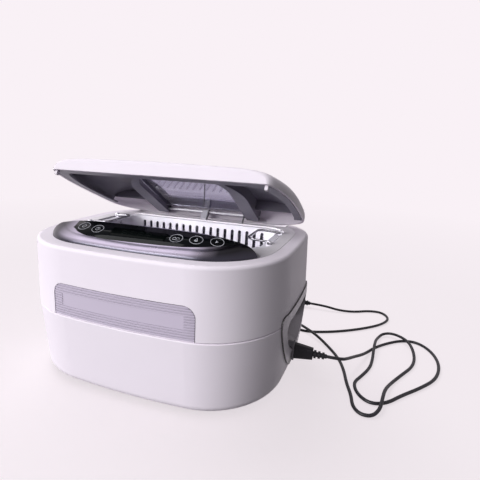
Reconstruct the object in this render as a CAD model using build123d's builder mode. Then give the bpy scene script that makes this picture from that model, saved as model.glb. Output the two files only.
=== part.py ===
from build123d import *

import os
from math import atan2, cos, hypot, pi, radians, sin, sqrt, tan

# Ultrasonic jewellery cleaner, in millimetres.
# +X is the side with the power inlet, -Y is the front with the touch panel, +Z is up.
# The origin is the centre of the housing's footprint, on the surface it stands on.

# Housing
BODY_WIDTH = 290.0
BODY_DEPTH = 230.0
WIDEST_Y = 25.0
FOOT_HEIGHT = 3.0
FOOT_RADIUS = 8.9
PARTING_Z = 79.0
SHOULDER_Z = 150.0
WALL = 2.6
FLOOR = 3.0
BASE_ROUND = 9.0
SHOULDER_ROUND = 3.5
SHOULDER_WIDTH = 15.0
PARTING_FLARE = 2.3
BASE_TAPER = 2.6
SEAM_GROOVE = 0.9
GAP = 0.3
POST_INSET = 16.0

# Arcs of the egg-shaped outline: end arc, side arc and corner arc of each half
FRONT_ARCS = (820.0, 816.0, 84.0)
REAR_ARCS = (700.0, 3000.0, 66.0)

# Front label plate
LABEL_HALF_WIDTH = 77.0
LABEL_TOP_Z = 113.5
LABEL_CORNER = 12.0
LABEL_RECESS = 1.6
LABEL_PLATE = 0.9
RIDGE_PITCH = 2.5
RIDGE_WIDTH = 1.1
RIDGE_COUNT = 13
PLAIN_ROWS = range(4, 9)
PLAIN_HALF_WIDTH = 66.0

# Hand grips
GRIP_Y = 7.0
GRIP_TOP_Z = 89.0
GRIP_BOTTOM_Z = 14.0
GRIP_HALF_LENGTH = 62.0
GRIP_FRAME = 11.0
GRIP_PROUD = 1.8
GRIP_DEPTH = 26.0
GRIP_WALL = 2.2
GRIP_CORNER = 7.0

# Tank and basket
TANK_Y = 14.5
TANK_LENGTH = 224.0
TANK_DEPTH_Y = 108.0
TANK_CORNER = 28.0
TANK_SHEET = 0.8
TANK_FLOOR_Z = 64.0
TANK_RIM_Z = 146.4
TANK_FLANGE = 8.0
TANK_FLOOR_ROUND = 12.0
DECK_TOP_Z = 150.2
DECK_BOTTOM_Z = 147.4
DECK_FRONT_Y = -64.8
DECK_OPENING = (233.0, 113.4)
TROUGH_FRONT_Y = 77.0
TROUGH_HALF_WIDTH = 113.0
TROUGH_MARGIN = 5.0
TROUGH_Z = 138.8
TROUGH_SHEET = 2.0
BASKET_LENGTH = 218.0
BASKET_WIDTH = 104.0
BASKET_CORNER = 25.0
BASKET_RIM_Z = 148.7
BASKET_FLANGE = 5.8
BASKET_SIDE_FLANGE = 3.8
BASKET_SHEET = 2.0
BASKET_FLOOR_Z = 92.0
BASKET_TAPER = 3.0
SLOT_PITCH = 10.0
SLOT_WIDTH = 4.2
SLOT_HEIGHT = 44.0
SLOT_MIDDLE_Z = 121.0
SIDE_SLOTS = 18
END_SLOTS = 6
FLOOR_SLOT = 36.0
HANDLE_WIRE = 2.6
HANDLE_LEG = 25.0
HANDLE_SPAN = 47.0
HANDLE_RISE = 1.5
HANDLE_Z = 151.6
PIVOT_X = 113.2
EAR_GAP = 1.8
EAR_THICK = 3.6
EAR_RADIUS = 2.4

# Control panel
PANEL_SLOPE = 28.0
RIDGE_Y = -67.0
RIDGE_Z = 168.4
PANEL_DROP = 10.0
PANEL_HALF_WIDTH = 116.0
PANEL_SHEET = 2.6
PANEL_REAR_Y = -65.5
GLASS = 1.4
GLASS_HALF_WIDTH = 87.0
GLASS_X = 8.0
GLASS_REAR_Y = -69.5
GLASS_FRONT_Y = -90.5
GLASS_END = 2.5
DISPLAY_DEPTH = 5.0
DISPLAY_X = -1.0
DISPLAY_WIDTH = 62.0
KEYS = ((-67.0, -75.5), (-48.7, -77.8), (40.0, -77.6), (60.0, -76.0), (80.0, -73.5))

# Lid, drawn in its own plane: origin on the hinge axis, -Y to the front edge, +Z out of the lid
HINGE_Y = 83.0
HINGE_Z = 159.0
LID_OPEN = 24.3
LID_RIM = -4.7
LID_SHEET = 2.5
LID_STATIONS = (
    (151.5, 119.0, 11.0),
    (150.0, 121.5, 14.5),
    (138.0, 128.0, 18.5),
    (112.0, 134.5, 22.5),
    (75.0, 137.5, 26.5),
    (38.0, 137.8, 27.5),
    (12.0, 134.0, 25.0),
    (-2.0, 121.0, 20.5),
    (-10.0, 102.0, 16.5),
    (-14.8, 86.0, 11.5),
)
LID_MIDDLE = 68.0
LID_HALF_LENGTH = 83.3
LINER_REAR = 24.0
LINER_BAND = 9.0
LINER_SHEET = 2.0
LINER_PLAY = 0.2
BUMPER_PLACE = (118.6, 146.0)
BUMPER_HEIGHT = 4.5

# Window unit of the lid: a flat pane in an arch that is tilted up from the rim's plane
WINDOW_TILT = 7.6
WINDOW_HALF_WIDTH = 57.5
WINDOW_FRONT = 108.0
WINDOW_REAR = 10.0
WINDOW_CORNER = 34.0
WINDOW_PLAY = 0.2
PANE_LEVEL = 1.8
PANE_SHEET = 1.6
FRAME_WIDTH = 17.0
FRAME_FRONT_WIDTH = 5.0
FRAME_CORNER = 56.0
FRAME_SHEET = 2.0
FRAME_BOTTOM = -4.0
FRAME_REAR = -5.0
CLIP_RADIUS = 3.9
CLIP_WIDTH = 8.0
ROD_PLAY = 0.08
ROD_RADIUS = 1.5
ROD_HALF_LENGTH = 76.0
STAY_X = 55.0
STAY_FOOT_Y = 74.5

# Inside the housing
HORN_X = 48.0
HORN_RADIUS = 21.0
FAN_X = 78.0
FAN_SIZE = 50.0
FAN_DEPTH = 15.0
FAN_Z = 52.0
FAN_FRONT_Y = 84.0
FAN_BORE = 23.0
FAN_HUB = 11.0
FAN_TIP = 21.5
FAN_PIN = 2.0
STACK_TOP_Z = 44.0
STACK_BOTTOM_Z = 32.0
MASS_BOTTOM_Z = 16.0
STACK_RADIUS = 19.0
BOLT_RADIUS = 4.0
BOLT_HEAD = 6.0
BOARD_POST_HEIGHT = 14.0
BOARD_X = -24.0
BOARD_Y = 83.0
BOARD_WIDTH = 124.0
BOARD_HEIGHT = 88.0
BOARD_THICK = 1.6

# Power cord
INLET_Z = 24.5
INLET_Y = 5.0
INLET_FLANGE_X = 144.4
INLET_BACK_X = 118.0
INLET_WIDTH = 11.0
INLET_HEIGHT = 18.0
INLET_FLANGE = 2.2
PIN_PITCH = 9.0
PIN_RADIUS = 1.2
CORD_DIAMETER = 3.6
PLUG_START_X = 138.0
PLUG_Y = 187.0
PLUG_Z = 6.8
PLUG_BOOT = 22.0
PLUG_BODY = 33.0
PLUG_WIDTH = 25.0
PLUG_PITCH = 19.0
SLEEVE_START_X = 160.0
SLEEVE_END_X = 183.0
CONNECTOR_X = 146.9
CONNECTOR_END_X = 167.5

os.makedirs("parts", exist_ok=True)


def save(block, name):
    """Name a finished piece and write its file."""
    block.part.label = name
    export_step(block.part, f"parts/{name}.step")


# Housing outline

def quarter(width, depth, arcs, inset):
    """Return the joints of a quarter outline from (0, depth) to (width, 0).

    An end arc centred on the Y axis, a corner arc and a side arc centred on the X axis
    run into each other smoothly. An inset keeps the three centres and shortens the radii.
    """
    end_arc, side_arc, corner_arc = arcs
    end_y = depth - end_arc
    side_x = width - side_arc
    reach_end = end_arc - corner_arc
    reach_side = side_arc - corner_arc
    span = hypot(side_x, end_y)
    along = (reach_end**2 - reach_side**2 + span**2) / (2 * span)
    across = sqrt(reach_end**2 - along**2)
    unit_x = side_x / span
    unit_y = -end_y / span
    corner_x = unit_x * along - unit_y * across
    corner_y = end_y + unit_y * along + unit_x * across
    if corner_x < 0 or corner_y < 0:
        corner_x = unit_x * along + unit_y * across
        corner_y = end_y + unit_y * along - unit_x * across
    end_angle = atan2(corner_y - end_y, corner_x)
    side_angle = atan2(corner_y, corner_x - side_x)
    centres = ((0.0, end_y), (corner_x, corner_y), (side_x, 0.0))
    radii = (end_arc - inset, corner_arc - inset, side_arc - inset)
    turns = ((radians(90), end_angle), (end_angle, side_angle), (side_angle, 0.0))
    return centres, radii, turns


def quarter_arcs(width, depth, arcs, inset, flip, centre_y):
    """Draw a quarter outline in the current line block, flipped to the front if flip is -1."""
    centres, radii, turns = quarter(width, depth, arcs, inset)
    for (x, y), radius, (start, stop) in zip(centres, radii, turns):
        points = []
        for angle in (start, (start + stop) / 2, stop):
            across = x + radius * cos(angle)
            along = y + radius * sin(angle)
            points.append((across, centre_y + flip * along))
        ThreePointArc(*points)


def egg(height, inset):
    """Return the housing's outline at a height, inset from its widest size."""
    half = BODY_WIDTH / 2
    front = BODY_DEPTH / 2 + WIDEST_Y
    rear = BODY_DEPTH / 2 - WIDEST_Y
    with BuildSketch(Plane.XY.offset(height), mode=Mode.PRIVATE) as outline:
        with BuildLine():
            quarter_arcs(half, front, FRONT_ARCS, inset, -1, WIDEST_Y)
            quarter_arcs(half, rear, REAR_ARCS, inset, 1, WIDEST_Y)
            mirror(about=Plane.YZ)
        make_face()
    return outline.sketch


def wall_inset(height):
    """Return the wall's draft: widest at the parting line, narrower to the base and the top."""
    if height > PARTING_Z:
        share = (height - PARTING_Z) / (SHOULDER_Z - PARTING_Z)
        return -PARTING_FLARE * (1 - share)
    share = (PARTING_Z - height) / (PARTING_Z - FOOT_HEIGHT)
    return -PARTING_FLARE + (PARTING_FLARE + BASE_TAPER) * share


def housing_block(low, high, inset):
    """Return the housing's solid between two heights on one side of the parting line."""
    with BuildPart(mode=Mode.PRIVATE) as block:
        loft([egg(low, wall_inset(low + 0.001) + inset), egg(high, wall_inset(high) + inset)],
             ruled=True)
    return block.part


def prism(outline, direction, amount):
    """Return an outline extruded along a direction."""
    with BuildPart(mode=Mode.PRIVATE) as block:
        extrude(outline, amount=amount, dir=direction)
    return block.part


def grip_outline(side, start_x, inset, lift=0.0):
    """Return the D-shaped outline of a hand grip on an upright plane, drawn in by an inset."""
    plane = Plane(origin=(side * start_x, GRIP_Y, 0), x_dir=(0, side, 0), z_dir=(side, 0, 0))
    half = GRIP_HALF_LENGTH - inset
    top = GRIP_TOP_Z - inset + lift
    bottom = GRIP_BOTTOM_Z + inset + lift
    middle = (top + bottom) / 2 - 5
    foot = 17 - 0.4 * inset
    side_end = top - 12
    waist = 49 - 0.85 * inset
    with BuildSketch(plane, mode=Mode.PRIVATE) as outline:
        with BuildLine():
            Line((-half, top), (half, top))
            Line((half, top), (half, side_end))
            ThreePointArc((half, side_end), (waist, middle), (foot, bottom))
            Line((foot, bottom), (-foot, bottom))
            ThreePointArc((-foot, bottom), (-waist, middle), (-half, side_end))
            Line((-half, side_end), (-half, top))
        make_face()
        fillet(outline.vertices(), GRIP_CORNER)
    return outline.sketch


def grip_prism(side, start_x, inset):
    """Return the grip's outline extruded out past the side wall."""
    return prism(grip_outline(side, start_x, inset), (side, 0, 0), 200 - start_x)


def corner_posts():
    """Return the four screw post centres, just inside the corner arcs of the outline."""
    half = BODY_WIDTH / 2
    places = []
    for depth, arcs, flip in ((BODY_DEPTH / 2 + WIDEST_Y, FRONT_ARCS, -1),
                              (BODY_DEPTH / 2 - WIDEST_Y, REAR_ARCS, 1)):
        centres, radii, _ = quarter(half, depth, arcs, 0)
        reach = radii[1] - POST_INSET
        x = centres[1][0] + reach * cos(radians(44))
        y = WIDEST_Y + flip * (centres[1][1] + reach * sin(radians(44)))
        places += [(x, y), (-x, y)]
    return places


def trough_outline(height, inset):
    """Return the outline of the lid's trough behind the tank, drawn in by an inset."""
    with BuildSketch(Plane.XY.offset(height), mode=Mode.PRIVATE) as outline:
        with Locations((0, TROUGH_FRONT_Y + 50)):
            Rectangle(2 * (TROUGH_HALF_WIDTH - inset), 100 - 2 * inset)
        add(egg(height, TROUGH_MARGIN + inset), mode=Mode.INTERSECT)
    return outline.sketch


POSTS = corner_posts()
FEET = [(-88.0, -68.0), (88.0, -68.0), (-92.0, 80.0), (92.0, 80.0)]
BOARD_POSTS = [(-78.0, BOARD_Y + 0.8), (30.0, BOARD_Y + 0.8)]


# Lower shell: tapered cup with a rounded base, floor vents, fan vents, posts and bosses

lower_cavity = housing_block(FOOT_HEIGHT + FLOOR, PARTING_Z + 1, WALL)
fan_opening = Plane(origin=(FAN_X, 130, FAN_Z), x_dir=(1, 0, 0), z_dir=(0, -1, 0))
with BuildPart() as lower_shell:
    add(housing_block(FOOT_HEIGHT, PARTING_Z, 0))
    fillet(lower_shell.faces().sort_by(Axis.Z)[0].edges(), BASE_ROUND)
    chamfer(lower_shell.faces().sort_by(Axis.Z)[-1].edges(), SEAM_GROOVE)
    add(lower_cavity, mode=Mode.SUBTRACT)
    with BuildSketch(Plane.XY.offset(FOOT_HEIGHT + FLOOR)):
        with Locations(*POSTS):
            Circle(6.5)
    extrude(amount=PARTING_Z - FOOT_HEIGHT - FLOOR - 0.5)
    with BuildSketch(Plane.XY.offset(FOOT_HEIGHT + FLOOR)):
        with Locations(*BOARD_POSTS):
            Circle(4)
    extrude(amount=BOARD_POST_HEIGHT)
    with BuildSketch(Plane.XY.offset(FOOT_HEIGHT - 1)):
        with Locations(*POSTS):
            Circle(3.8)
    extrude(amount=58, mode=Mode.SUBTRACT)
    with BuildSketch(Plane.XY.offset(FOOT_HEIGHT - 1)):
        with Locations(*POSTS):
            Circle(2.2)
    extrude(amount=90, mode=Mode.SUBTRACT)
    with BuildSketch(Plane.XY.offset(FOOT_HEIGHT - 1)):
        with GridLocations(9, 40, 9, 2):
            SlotOverall(32, 3, rotation=90)
    extrude(amount=FLOOR + 3, mode=Mode.SUBTRACT)
    with BuildSketch(Plane.XY.offset(FOOT_HEIGHT - 1)):
        with Locations(*FEET):
            Circle(FOOT_RADIUS + 0.3)
    extrude(amount=2, mode=Mode.SUBTRACT)
    with BuildSketch(fan_opening):
        with GridLocations(0, 6.5, 1, 7):
            SlotOverall(42, 3.4)
    extrude(amount=22, mode=Mode.SUBTRACT)
    for side in (-1, 1):
        add(grip_prism(side, 90, 1.0), mode=Mode.SUBTRACT)
save(lower_shell, "lower_shell")


# Upper shell: flared wall under a flat shoulder with a rounded edge, open for the deck

label_sketch_plane = Plane(origin=(0, -60, 0), x_dir=(1, 0, 0), z_dir=(0, -1, 0))


def label_prism(grow):
    """Return the label's outline, flat below at the seam, extruded out to the front."""
    half = LABEL_HALF_WIDTH + grow
    top = LABEL_TOP_Z + grow
    bottom = PARTING_Z - 5
    with BuildSketch(label_sketch_plane, mode=Mode.PRIVATE) as outline:
        with BuildLine():
            Polyline((-half, bottom), (half, bottom), (half, top), (-half, top), close=True)
        make_face()
        fillet(outline.vertices().group_by(Axis.Y)[-1], LABEL_CORNER + grow)
    return prism(outline.sketch, (0, -1, 0), 80)


upper_cavity = housing_block(PARTING_Z + 0.3, SHOULDER_Z - WALL, WALL)
label_zone = label_prism(0.0)
recess_core = housing_block(PARTING_Z + 0.2, LABEL_TOP_Z + 10, LABEL_RECESS)
with BuildPart() as label_recess:
    add(housing_block(PARTING_Z + 0.2, LABEL_TOP_Z + 10, -1))
    add(recess_core, mode=Mode.SUBTRACT)
    add(label_zone, mode=Mode.INTERSECT)

with BuildPart() as deck_lip:
    extrude(egg(SHOULDER_Z - WALL - 2, SHOULDER_WIDTH - 1), amount=2)
    extrude(egg(SHOULDER_Z - WALL - 2, SHOULDER_WIDTH + 3), amount=2, mode=Mode.SUBTRACT)

with BuildPart() as upper_shell:
    add(housing_block(PARTING_Z + 0.3, SHOULDER_Z, 0))
    fillet(upper_shell.faces().sort_by(Axis.Z)[-1].edges(), SHOULDER_ROUND)
    chamfer(upper_shell.faces().sort_by(Axis.Z)[0].edges(), SEAM_GROOVE)
    add(label_recess.part, mode=Mode.SUBTRACT)
    add(upper_cavity, mode=Mode.SUBTRACT)
    with BuildSketch(Plane.XY.offset(PARTING_Z + 0.3)):
        with Locations(*POSTS):
            Circle(5.5)
    extrude(amount=SHOULDER_Z - WALL - PARTING_Z)
    with BuildSketch(Plane.XY.offset(PARTING_Z)):
        with Locations(*POSTS):
            Circle(1.6)
    extrude(amount=30, mode=Mode.SUBTRACT)
    add(deck_lip.part)
    extrude(egg(SHOULDER_Z - WALL, SHOULDER_WIDTH), amount=10, mode=Mode.SUBTRACT)
    extrude(trough_outline(SHOULDER_Z - 40, 0), amount=60, mode=Mode.SUBTRACT)
    for side in (-1, 1):
        add(grip_prism(side, 90, 1.0), mode=Mode.SUBTRACT)
save(upper_shell, "upper_shell")


# Label plate with fine ridges and a plain middle field

plate_outer = housing_block(PARTING_Z + 1.4, LABEL_TOP_Z + 9, LABEL_RECESS - LABEL_PLATE)
ridge_outer = housing_block(PARTING_Z + 1.4, LABEL_TOP_Z + 9, LABEL_RECESS - LABEL_PLATE - 0.5)
plate_inner = housing_block(PARTING_Z + 0.8, LABEL_TOP_Z + 12, LABEL_RECESS - 0.02)
plate_zone = label_prism(-0.25)
with BuildPart() as ridges:
    with BuildSketch(label_sketch_plane):
        for row in range(RIDGE_COUNT):
            height = PARTING_Z + 3.2 + RIDGE_PITCH * row
            if row in PLAIN_ROWS:
                middle = (PLAIN_HALF_WIDTH + LABEL_HALF_WIDTH) / 2
                with Locations((-middle, height), (middle, height)):
                    Rectangle(LABEL_HALF_WIDTH - PLAIN_HALF_WIDTH, RIDGE_WIDTH)
            else:
                with Locations((0, height)):
                    Rectangle(2 * LABEL_HALF_WIDTH, RIDGE_WIDTH)
    extrude(amount=80)
    add(ridge_outer, mode=Mode.INTERSECT)
with BuildPart() as label_band:
    add(plate_outer)
    add(ridges.part)
    add(plate_inner, mode=Mode.SUBTRACT)
    add(plate_zone, mode=Mode.INTERSECT)
save(label_band, "label_band")


# Hand grips: a raised frame round a finger pocket that slopes in towards the top

def grip(side):
    """Return a hand grip set into a side wall."""
    back_x = BODY_WIDTH / 2 - GRIP_DEPTH
    pocket_back = grip_outline(side, back_x + GRIP_WALL, GRIP_FRAME + 9, 10)
    pocket_front = grip_outline(side, BODY_WIDTH / 2 + 12, GRIP_FRAME - 2)
    with BuildPart(mode=Mode.PRIVATE) as pocket:
        loft([pocket_back, pocket_front])
    halves = []
    for low, high in ((FOOT_HEIGHT, PARTING_Z), (PARTING_Z, SHOULDER_Z - 20)):
        with BuildPart(mode=Mode.PRIVATE) as frame:
            add(housing_block(low, high, -GRIP_PROUD))
            add(housing_block(low, high, 0), mode=Mode.SUBTRACT)
            add(grip_prism(side, 90, 0), mode=Mode.INTERSECT)
        with BuildPart(mode=Mode.PRIVATE) as cup:
            add(grip_prism(side, back_x, 1.2))
            add(housing_block(low, high, -GRIP_PROUD / 2), mode=Mode.INTERSECT)
        halves += [frame.part, cup.part]
    with BuildPart(mode=Mode.PRIVATE) as whole:
        for half in halves:
            add(half)
        add(pocket.part, mode=Mode.SUBTRACT)
    return whole.part


inlet_plane = Plane(origin=(0, INLET_Y, INLET_Z), x_dir=(0, 1, 0), z_dir=(1, 0, 0))
with BuildPart() as inlet_passage:
    with BuildSketch(inlet_plane.offset(INLET_BACK_X - 10)):
        RectangleRounded(INLET_WIDTH + 0.4, INLET_HEIGHT + 0.4, 3)
    extrude(amount=60)
    with BuildSketch(inlet_plane.offset(INLET_FLANGE_X)):
        RectangleRounded(INLET_WIDTH + 2.4, INLET_HEIGHT + 3.4, 3)
    extrude(amount=30)

with BuildPart() as grip_right:
    add(grip(1))
    add(inlet_passage.part, mode=Mode.SUBTRACT)
save(grip_right, "grip_right")

with BuildPart() as grip_left:
    add(grip(-1))
save(grip_left, "grip_left")


# Rubber feet and the screws that hold the two shells

with BuildPart() as rubber_feet:
    with BuildSketch(Plane.XY):
        with Locations(*FEET):
            Circle(FOOT_RADIUS)
    extrude(amount=FOOT_HEIGHT + 1)
    chamfer(rubber_feet.faces().filter_by(Axis.Z).sort_by(Axis.Z)[:4].edges(), 0.8)
save(rubber_feet, "rubber_feet")

SCREW_SEAT_Z = FOOT_HEIGHT + 57
with BuildPart() as housing_screws:
    with BuildSketch(Plane.XY.offset(SCREW_SEAT_Z - 2.6)):
        with Locations(*POSTS):
            Circle(3.2)
    extrude(amount=2.6)
    with BuildSketch(Plane.XY.offset(SCREW_SEAT_Z)):
        with Locations(*POSTS):
            Circle(1.58)
    extrude(amount=42)
    with BuildSketch(Plane.XY.offset(SCREW_SEAT_Z - 2.6)):
        with Locations(*POSTS):
            SlotOverall(4.4, 0.9)
            SlotOverall(4.4, 0.9, rotation=90)
    extrude(amount=1.4, mode=Mode.SUBTRACT)
save(housing_screws, "housing_screws")


# Deck: the plate round the tank, with the trough that the back of the lid turns in

with BuildPart() as deck:
    extrude(egg(DECK_BOTTOM_Z, SHOULDER_WIDTH + GAP), amount=DECK_TOP_Z - DECK_BOTTOM_Z)
    with BuildSketch(Plane.XY.offset(DECK_BOTTOM_Z)):
        with Locations((0, DECK_FRONT_Y - 50)):
            Rectangle(300, 100)
        with Locations((0, TANK_Y)):
            RectangleRounded(DECK_OPENING[0], DECK_OPENING[1], TANK_CORNER)
    extrude(amount=10, mode=Mode.SUBTRACT)
    extrude(trough_outline(TROUGH_Z, GAP), amount=DECK_TOP_Z - TROUGH_Z)
    extrude(trough_outline(TROUGH_Z + TROUGH_SHEET, GAP + TROUGH_SHEET), amount=20,
            mode=Mode.SUBTRACT)
    with BuildSketch(Plane.XY.offset(DECK_BOTTOM_Z - 1)):
        with Locations((STAY_X, STAY_FOOT_Y)):
            Circle(1.25)
    extrude(amount=5, mode=Mode.SUBTRACT)
save(deck, "deck")


# Tank, gasket and basket

def tank_block(height, shrink, depth, corner):
    """Return a rounded block standing in the tank's outline, drawn in all round."""
    with BuildPart(mode=Mode.PRIVATE) as block:
        with BuildSketch(Plane.XY.offset(height)):
            with Locations((0, TANK_Y)):
                RectangleRounded(TANK_LENGTH - 2 * shrink, TANK_DEPTH_Y - 2 * shrink,
                                 TANK_CORNER - shrink)
        extrude(amount=depth)
        fillet(block.faces().sort_by(Axis.Z)[0].edges(), corner)
    return block.part


with BuildPart() as tank:
    add(tank_block(TANK_FLOOR_Z, 0, TANK_RIM_Z - TANK_FLOOR_Z, TANK_FLOOR_ROUND))
    with BuildSketch(Plane.XY.offset(TANK_RIM_Z - TANK_SHEET)):
        with Locations((0, TANK_Y)):
            RectangleRounded(TANK_LENGTH + 2 * TANK_FLANGE, TANK_DEPTH_Y + 2 * TANK_FLANGE,
                             TANK_CORNER + TANK_FLANGE)
    extrude(amount=TANK_SHEET)
    add(tank_block(TANK_FLOOR_Z + TANK_SHEET, TANK_SHEET, 120, TANK_FLOOR_ROUND - TANK_SHEET),
        mode=Mode.SUBTRACT)
save(tank, "tank")

with BuildPart() as tank_gasket:
    with BuildSketch(Plane.XY.offset(TANK_RIM_Z)):
        with Locations((0, TANK_Y)):
            RectangleRounded(TANK_LENGTH + 2 * TANK_FLANGE - 1, TANK_DEPTH_Y + 2 * TANK_FLANGE - 1,
                             TANK_CORNER + TANK_FLANGE)
        with Locations((0, TANK_Y)):
            RectangleRounded(DECK_OPENING[0] + 1.4, DECK_OPENING[1] + 1.4, TANK_CORNER,
                             mode=Mode.SUBTRACT)
    extrude(amount=DECK_BOTTOM_Z - TANK_RIM_Z)
save(tank_gasket, "tank_gasket")


def basket_outline(height, shrink):
    """Return the basket's outline at a height, drawn in all round."""
    with BuildSketch(Plane.XY.offset(height), mode=Mode.PRIVATE) as outline:
        with Locations((0, TANK_Y)):
            RectangleRounded(BASKET_LENGTH - 2 * shrink, BASKET_WIDTH - 2 * shrink,
                             BASKET_CORNER - shrink)
    return outline.sketch


def handle_ear(side, end):
    """Return one ear on the basket's flange, with a hole for the end of a handle."""
    y = TANK_Y + end * (HANDLE_SPAN / 2 + EAR_GAP + EAR_THICK / 2)
    with BuildPart(mode=Mode.PRIVATE) as ear:
        with BuildSketch(Plane(origin=(side * PIVOT_X, y, HANDLE_Z), x_dir=(1, 0, 0),
                               z_dir=(0, -1, 0))):
            Circle(EAR_RADIUS)
            with Locations((0, -EAR_RADIUS)):
                Rectangle(2 * EAR_RADIUS, 2 * EAR_RADIUS)
            Circle(HANDLE_WIRE / 2 + 0.1, mode=Mode.SUBTRACT)
        extrude(amount=EAR_THICK / 2, both=True)
        with BuildSketch(Plane.XY.offset(BASKET_RIM_Z)):
            Rectangle(400, 400)
        extrude(amount=20, mode=Mode.INTERSECT)
    return ear.part


with BuildPart() as basket:
    loft([basket_outline(BASKET_FLOOR_Z, BASKET_TAPER), basket_outline(BASKET_RIM_Z, 0)], ruled=True)
    fillet(basket.faces().sort_by(Axis.Z)[0].edges(), 4)
    with BuildSketch(Plane.XY.offset(BASKET_RIM_Z - BASKET_SHEET)):
        with Locations((0, TANK_Y)):
            RectangleRounded(BASKET_LENGTH + 2 * BASKET_FLANGE,
                             BASKET_WIDTH + 2 * BASKET_SIDE_FLANGE, BASKET_CORNER)
    extrude(amount=BASKET_SHEET)
    fillet(basket.faces().sort_by(Axis.Z)[-1].edges(), 0.8)
    loft([basket_outline(BASKET_FLOOR_Z + BASKET_SHEET, BASKET_TAPER + BASKET_SHEET),
          basket_outline(BASKET_RIM_Z + 1, BASKET_SHEET)], ruled=True, mode=Mode.SUBTRACT)
    with BuildSketch(Plane(origin=(0, TANK_Y, SLOT_MIDDLE_Z), x_dir=(1, 0, 0), z_dir=(0, -1, 0))):
        with GridLocations(SLOT_PITCH, 0, SIDE_SLOTS, 1):
            SlotOverall(SLOT_HEIGHT, SLOT_WIDTH, rotation=90)
    extrude(amount=100, both=True, mode=Mode.SUBTRACT)
    with BuildSketch(Plane(origin=(0, TANK_Y, SLOT_MIDDLE_Z), x_dir=(0, 1, 0), z_dir=(1, 0, 0))):
        with GridLocations(SLOT_PITCH, 0, END_SLOTS, 1):
            SlotOverall(SLOT_HEIGHT, SLOT_WIDTH, rotation=90)
    extrude(amount=150, both=True, mode=Mode.SUBTRACT)
    with BuildSketch(Plane.XY.offset(BASKET_FLOOR_Z - 1)):
        with Locations((0, TANK_Y)):
            with GridLocations(SLOT_PITCH, FLOOR_SLOT + 4, SIDE_SLOTS - 1, 2):
                SlotOverall(FLOOR_SLOT, SLOT_WIDTH, rotation=90)
    extrude(amount=BASKET_SHEET + 2, mode=Mode.SUBTRACT)
    for side in (-1, 1):
        for end in (-1, 1):
            add(handle_ear(side, end))
save(basket, "basket")


def basket_handle(side):
    """Return a wire handle lying inwards from its two ears."""
    half = HANDLE_SPAN / 2
    tip = half + EAR_GAP + EAR_THICK + 1.2
    bar_x = side * (PIVOT_X - HANDLE_LEG)
    bar_z = HANDLE_Z + HANDLE_RISE
    pivot_x = side * PIVOT_X
    with BuildPart(mode=Mode.PRIVATE) as wire:
        with BuildLine() as path:
            FilletPolyline((pivot_x, TANK_Y - tip, HANDLE_Z), (pivot_x, TANK_Y - half, HANDLE_Z),
                           (bar_x, TANK_Y - half, bar_z), (bar_x, TANK_Y + half, bar_z),
                           (pivot_x, TANK_Y + half, HANDLE_Z), (pivot_x, TANK_Y + tip, HANDLE_Z),
                           radius=[2.0, 8.0, 8.0, 2.0])
        with BuildSketch(path.line ^ 0):
            Circle(HANDLE_WIRE / 2)
        sweep()
    return wire.part


with BuildPart() as basket_handle_right:
    add(basket_handle(1))
save(basket_handle_right, "basket_handle_right")

with BuildPart() as basket_handle_left:
    add(basket_handle(-1))
save(basket_handle_left, "basket_handle_left")


# Control panel: a hollow crescent in front of the tank whose top slopes down to the front

def panel_roof(lift):
    """Return the space under the sloping, slightly arched top surface, lifted by an amount."""
    slope = radians(PANEL_SLOPE)
    arch = []
    for part in range(-4, 5):
        x = PANEL_HALF_WIDTH * 1.1 * part / 4
        arch.append((x, RIDGE_Z + lift - PANEL_DROP * (x / PANEL_HALF_WIDTH)**4))
    start = Plane(origin=(0, RIDGE_Y, 0), x_dir=(1, 0, 0), z_dir=(0, -1, 0))
    with BuildPart(mode=Mode.PRIVATE) as roof:
        with BuildSketch(start) as profile:
            with BuildLine():
                Spline(*arch)
                Polyline(arch[-1], (arch[-1][0], 90), (arch[0][0], 90), arch[0])
            make_face()
        extrude(profile.sketch, amount=60, dir=(0, -cos(slope), -sin(slope)))
        extrude(profile.sketch, amount=5, dir=(0, cos(slope), sin(slope)))
    return roof.part


def crescent(height, inset):
    """Return the panel's plan outline: the front end of the housing's opening."""
    with BuildSketch(Plane.XY.offset(height), mode=Mode.PRIVATE) as outline:
        add(egg(height, SHOULDER_WIDTH + GAP + inset))
        with Locations((0, PANEL_REAR_Y - inset - 100)):
            Rectangle(400, 200, mode=Mode.INTERSECT)
    return outline.sketch


def glass_prism(grow):
    """Return the touch glass's lens-shaped plan, extruded upwards."""
    left = GLASS_X - GLASS_HALF_WIDTH - 2 * grow
    right = GLASS_X + GLASS_HALF_WIDTH + 2 * grow
    with BuildPart(mode=Mode.PRIVATE) as block:
        with BuildSketch(Plane.XY.offset(SHOULDER_Z - 10)):
            with BuildLine():
                Line((left, GLASS_REAR_Y + grow), (right, GLASS_REAR_Y + grow))
                Line((right, GLASS_REAR_Y + grow), (right, GLASS_REAR_Y - GLASS_END))
                ThreePointArc((right, GLASS_REAR_Y - GLASS_END), (GLASS_X, GLASS_FRONT_Y - grow),
                              (left, GLASS_REAR_Y - GLASS_END))
                Line((left, GLASS_REAR_Y - GLASS_END), (left, GLASS_REAR_Y + grow))
            make_face()
        extrude(amount=50)
    return block.part


with BuildPart() as touch_glass:
    add(glass_prism(0))
    add(panel_roof(0.1), mode=Mode.INTERSECT)
    add(panel_roof(-GLASS), mode=Mode.SUBTRACT)
save(touch_glass, "touch_glass")

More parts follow.
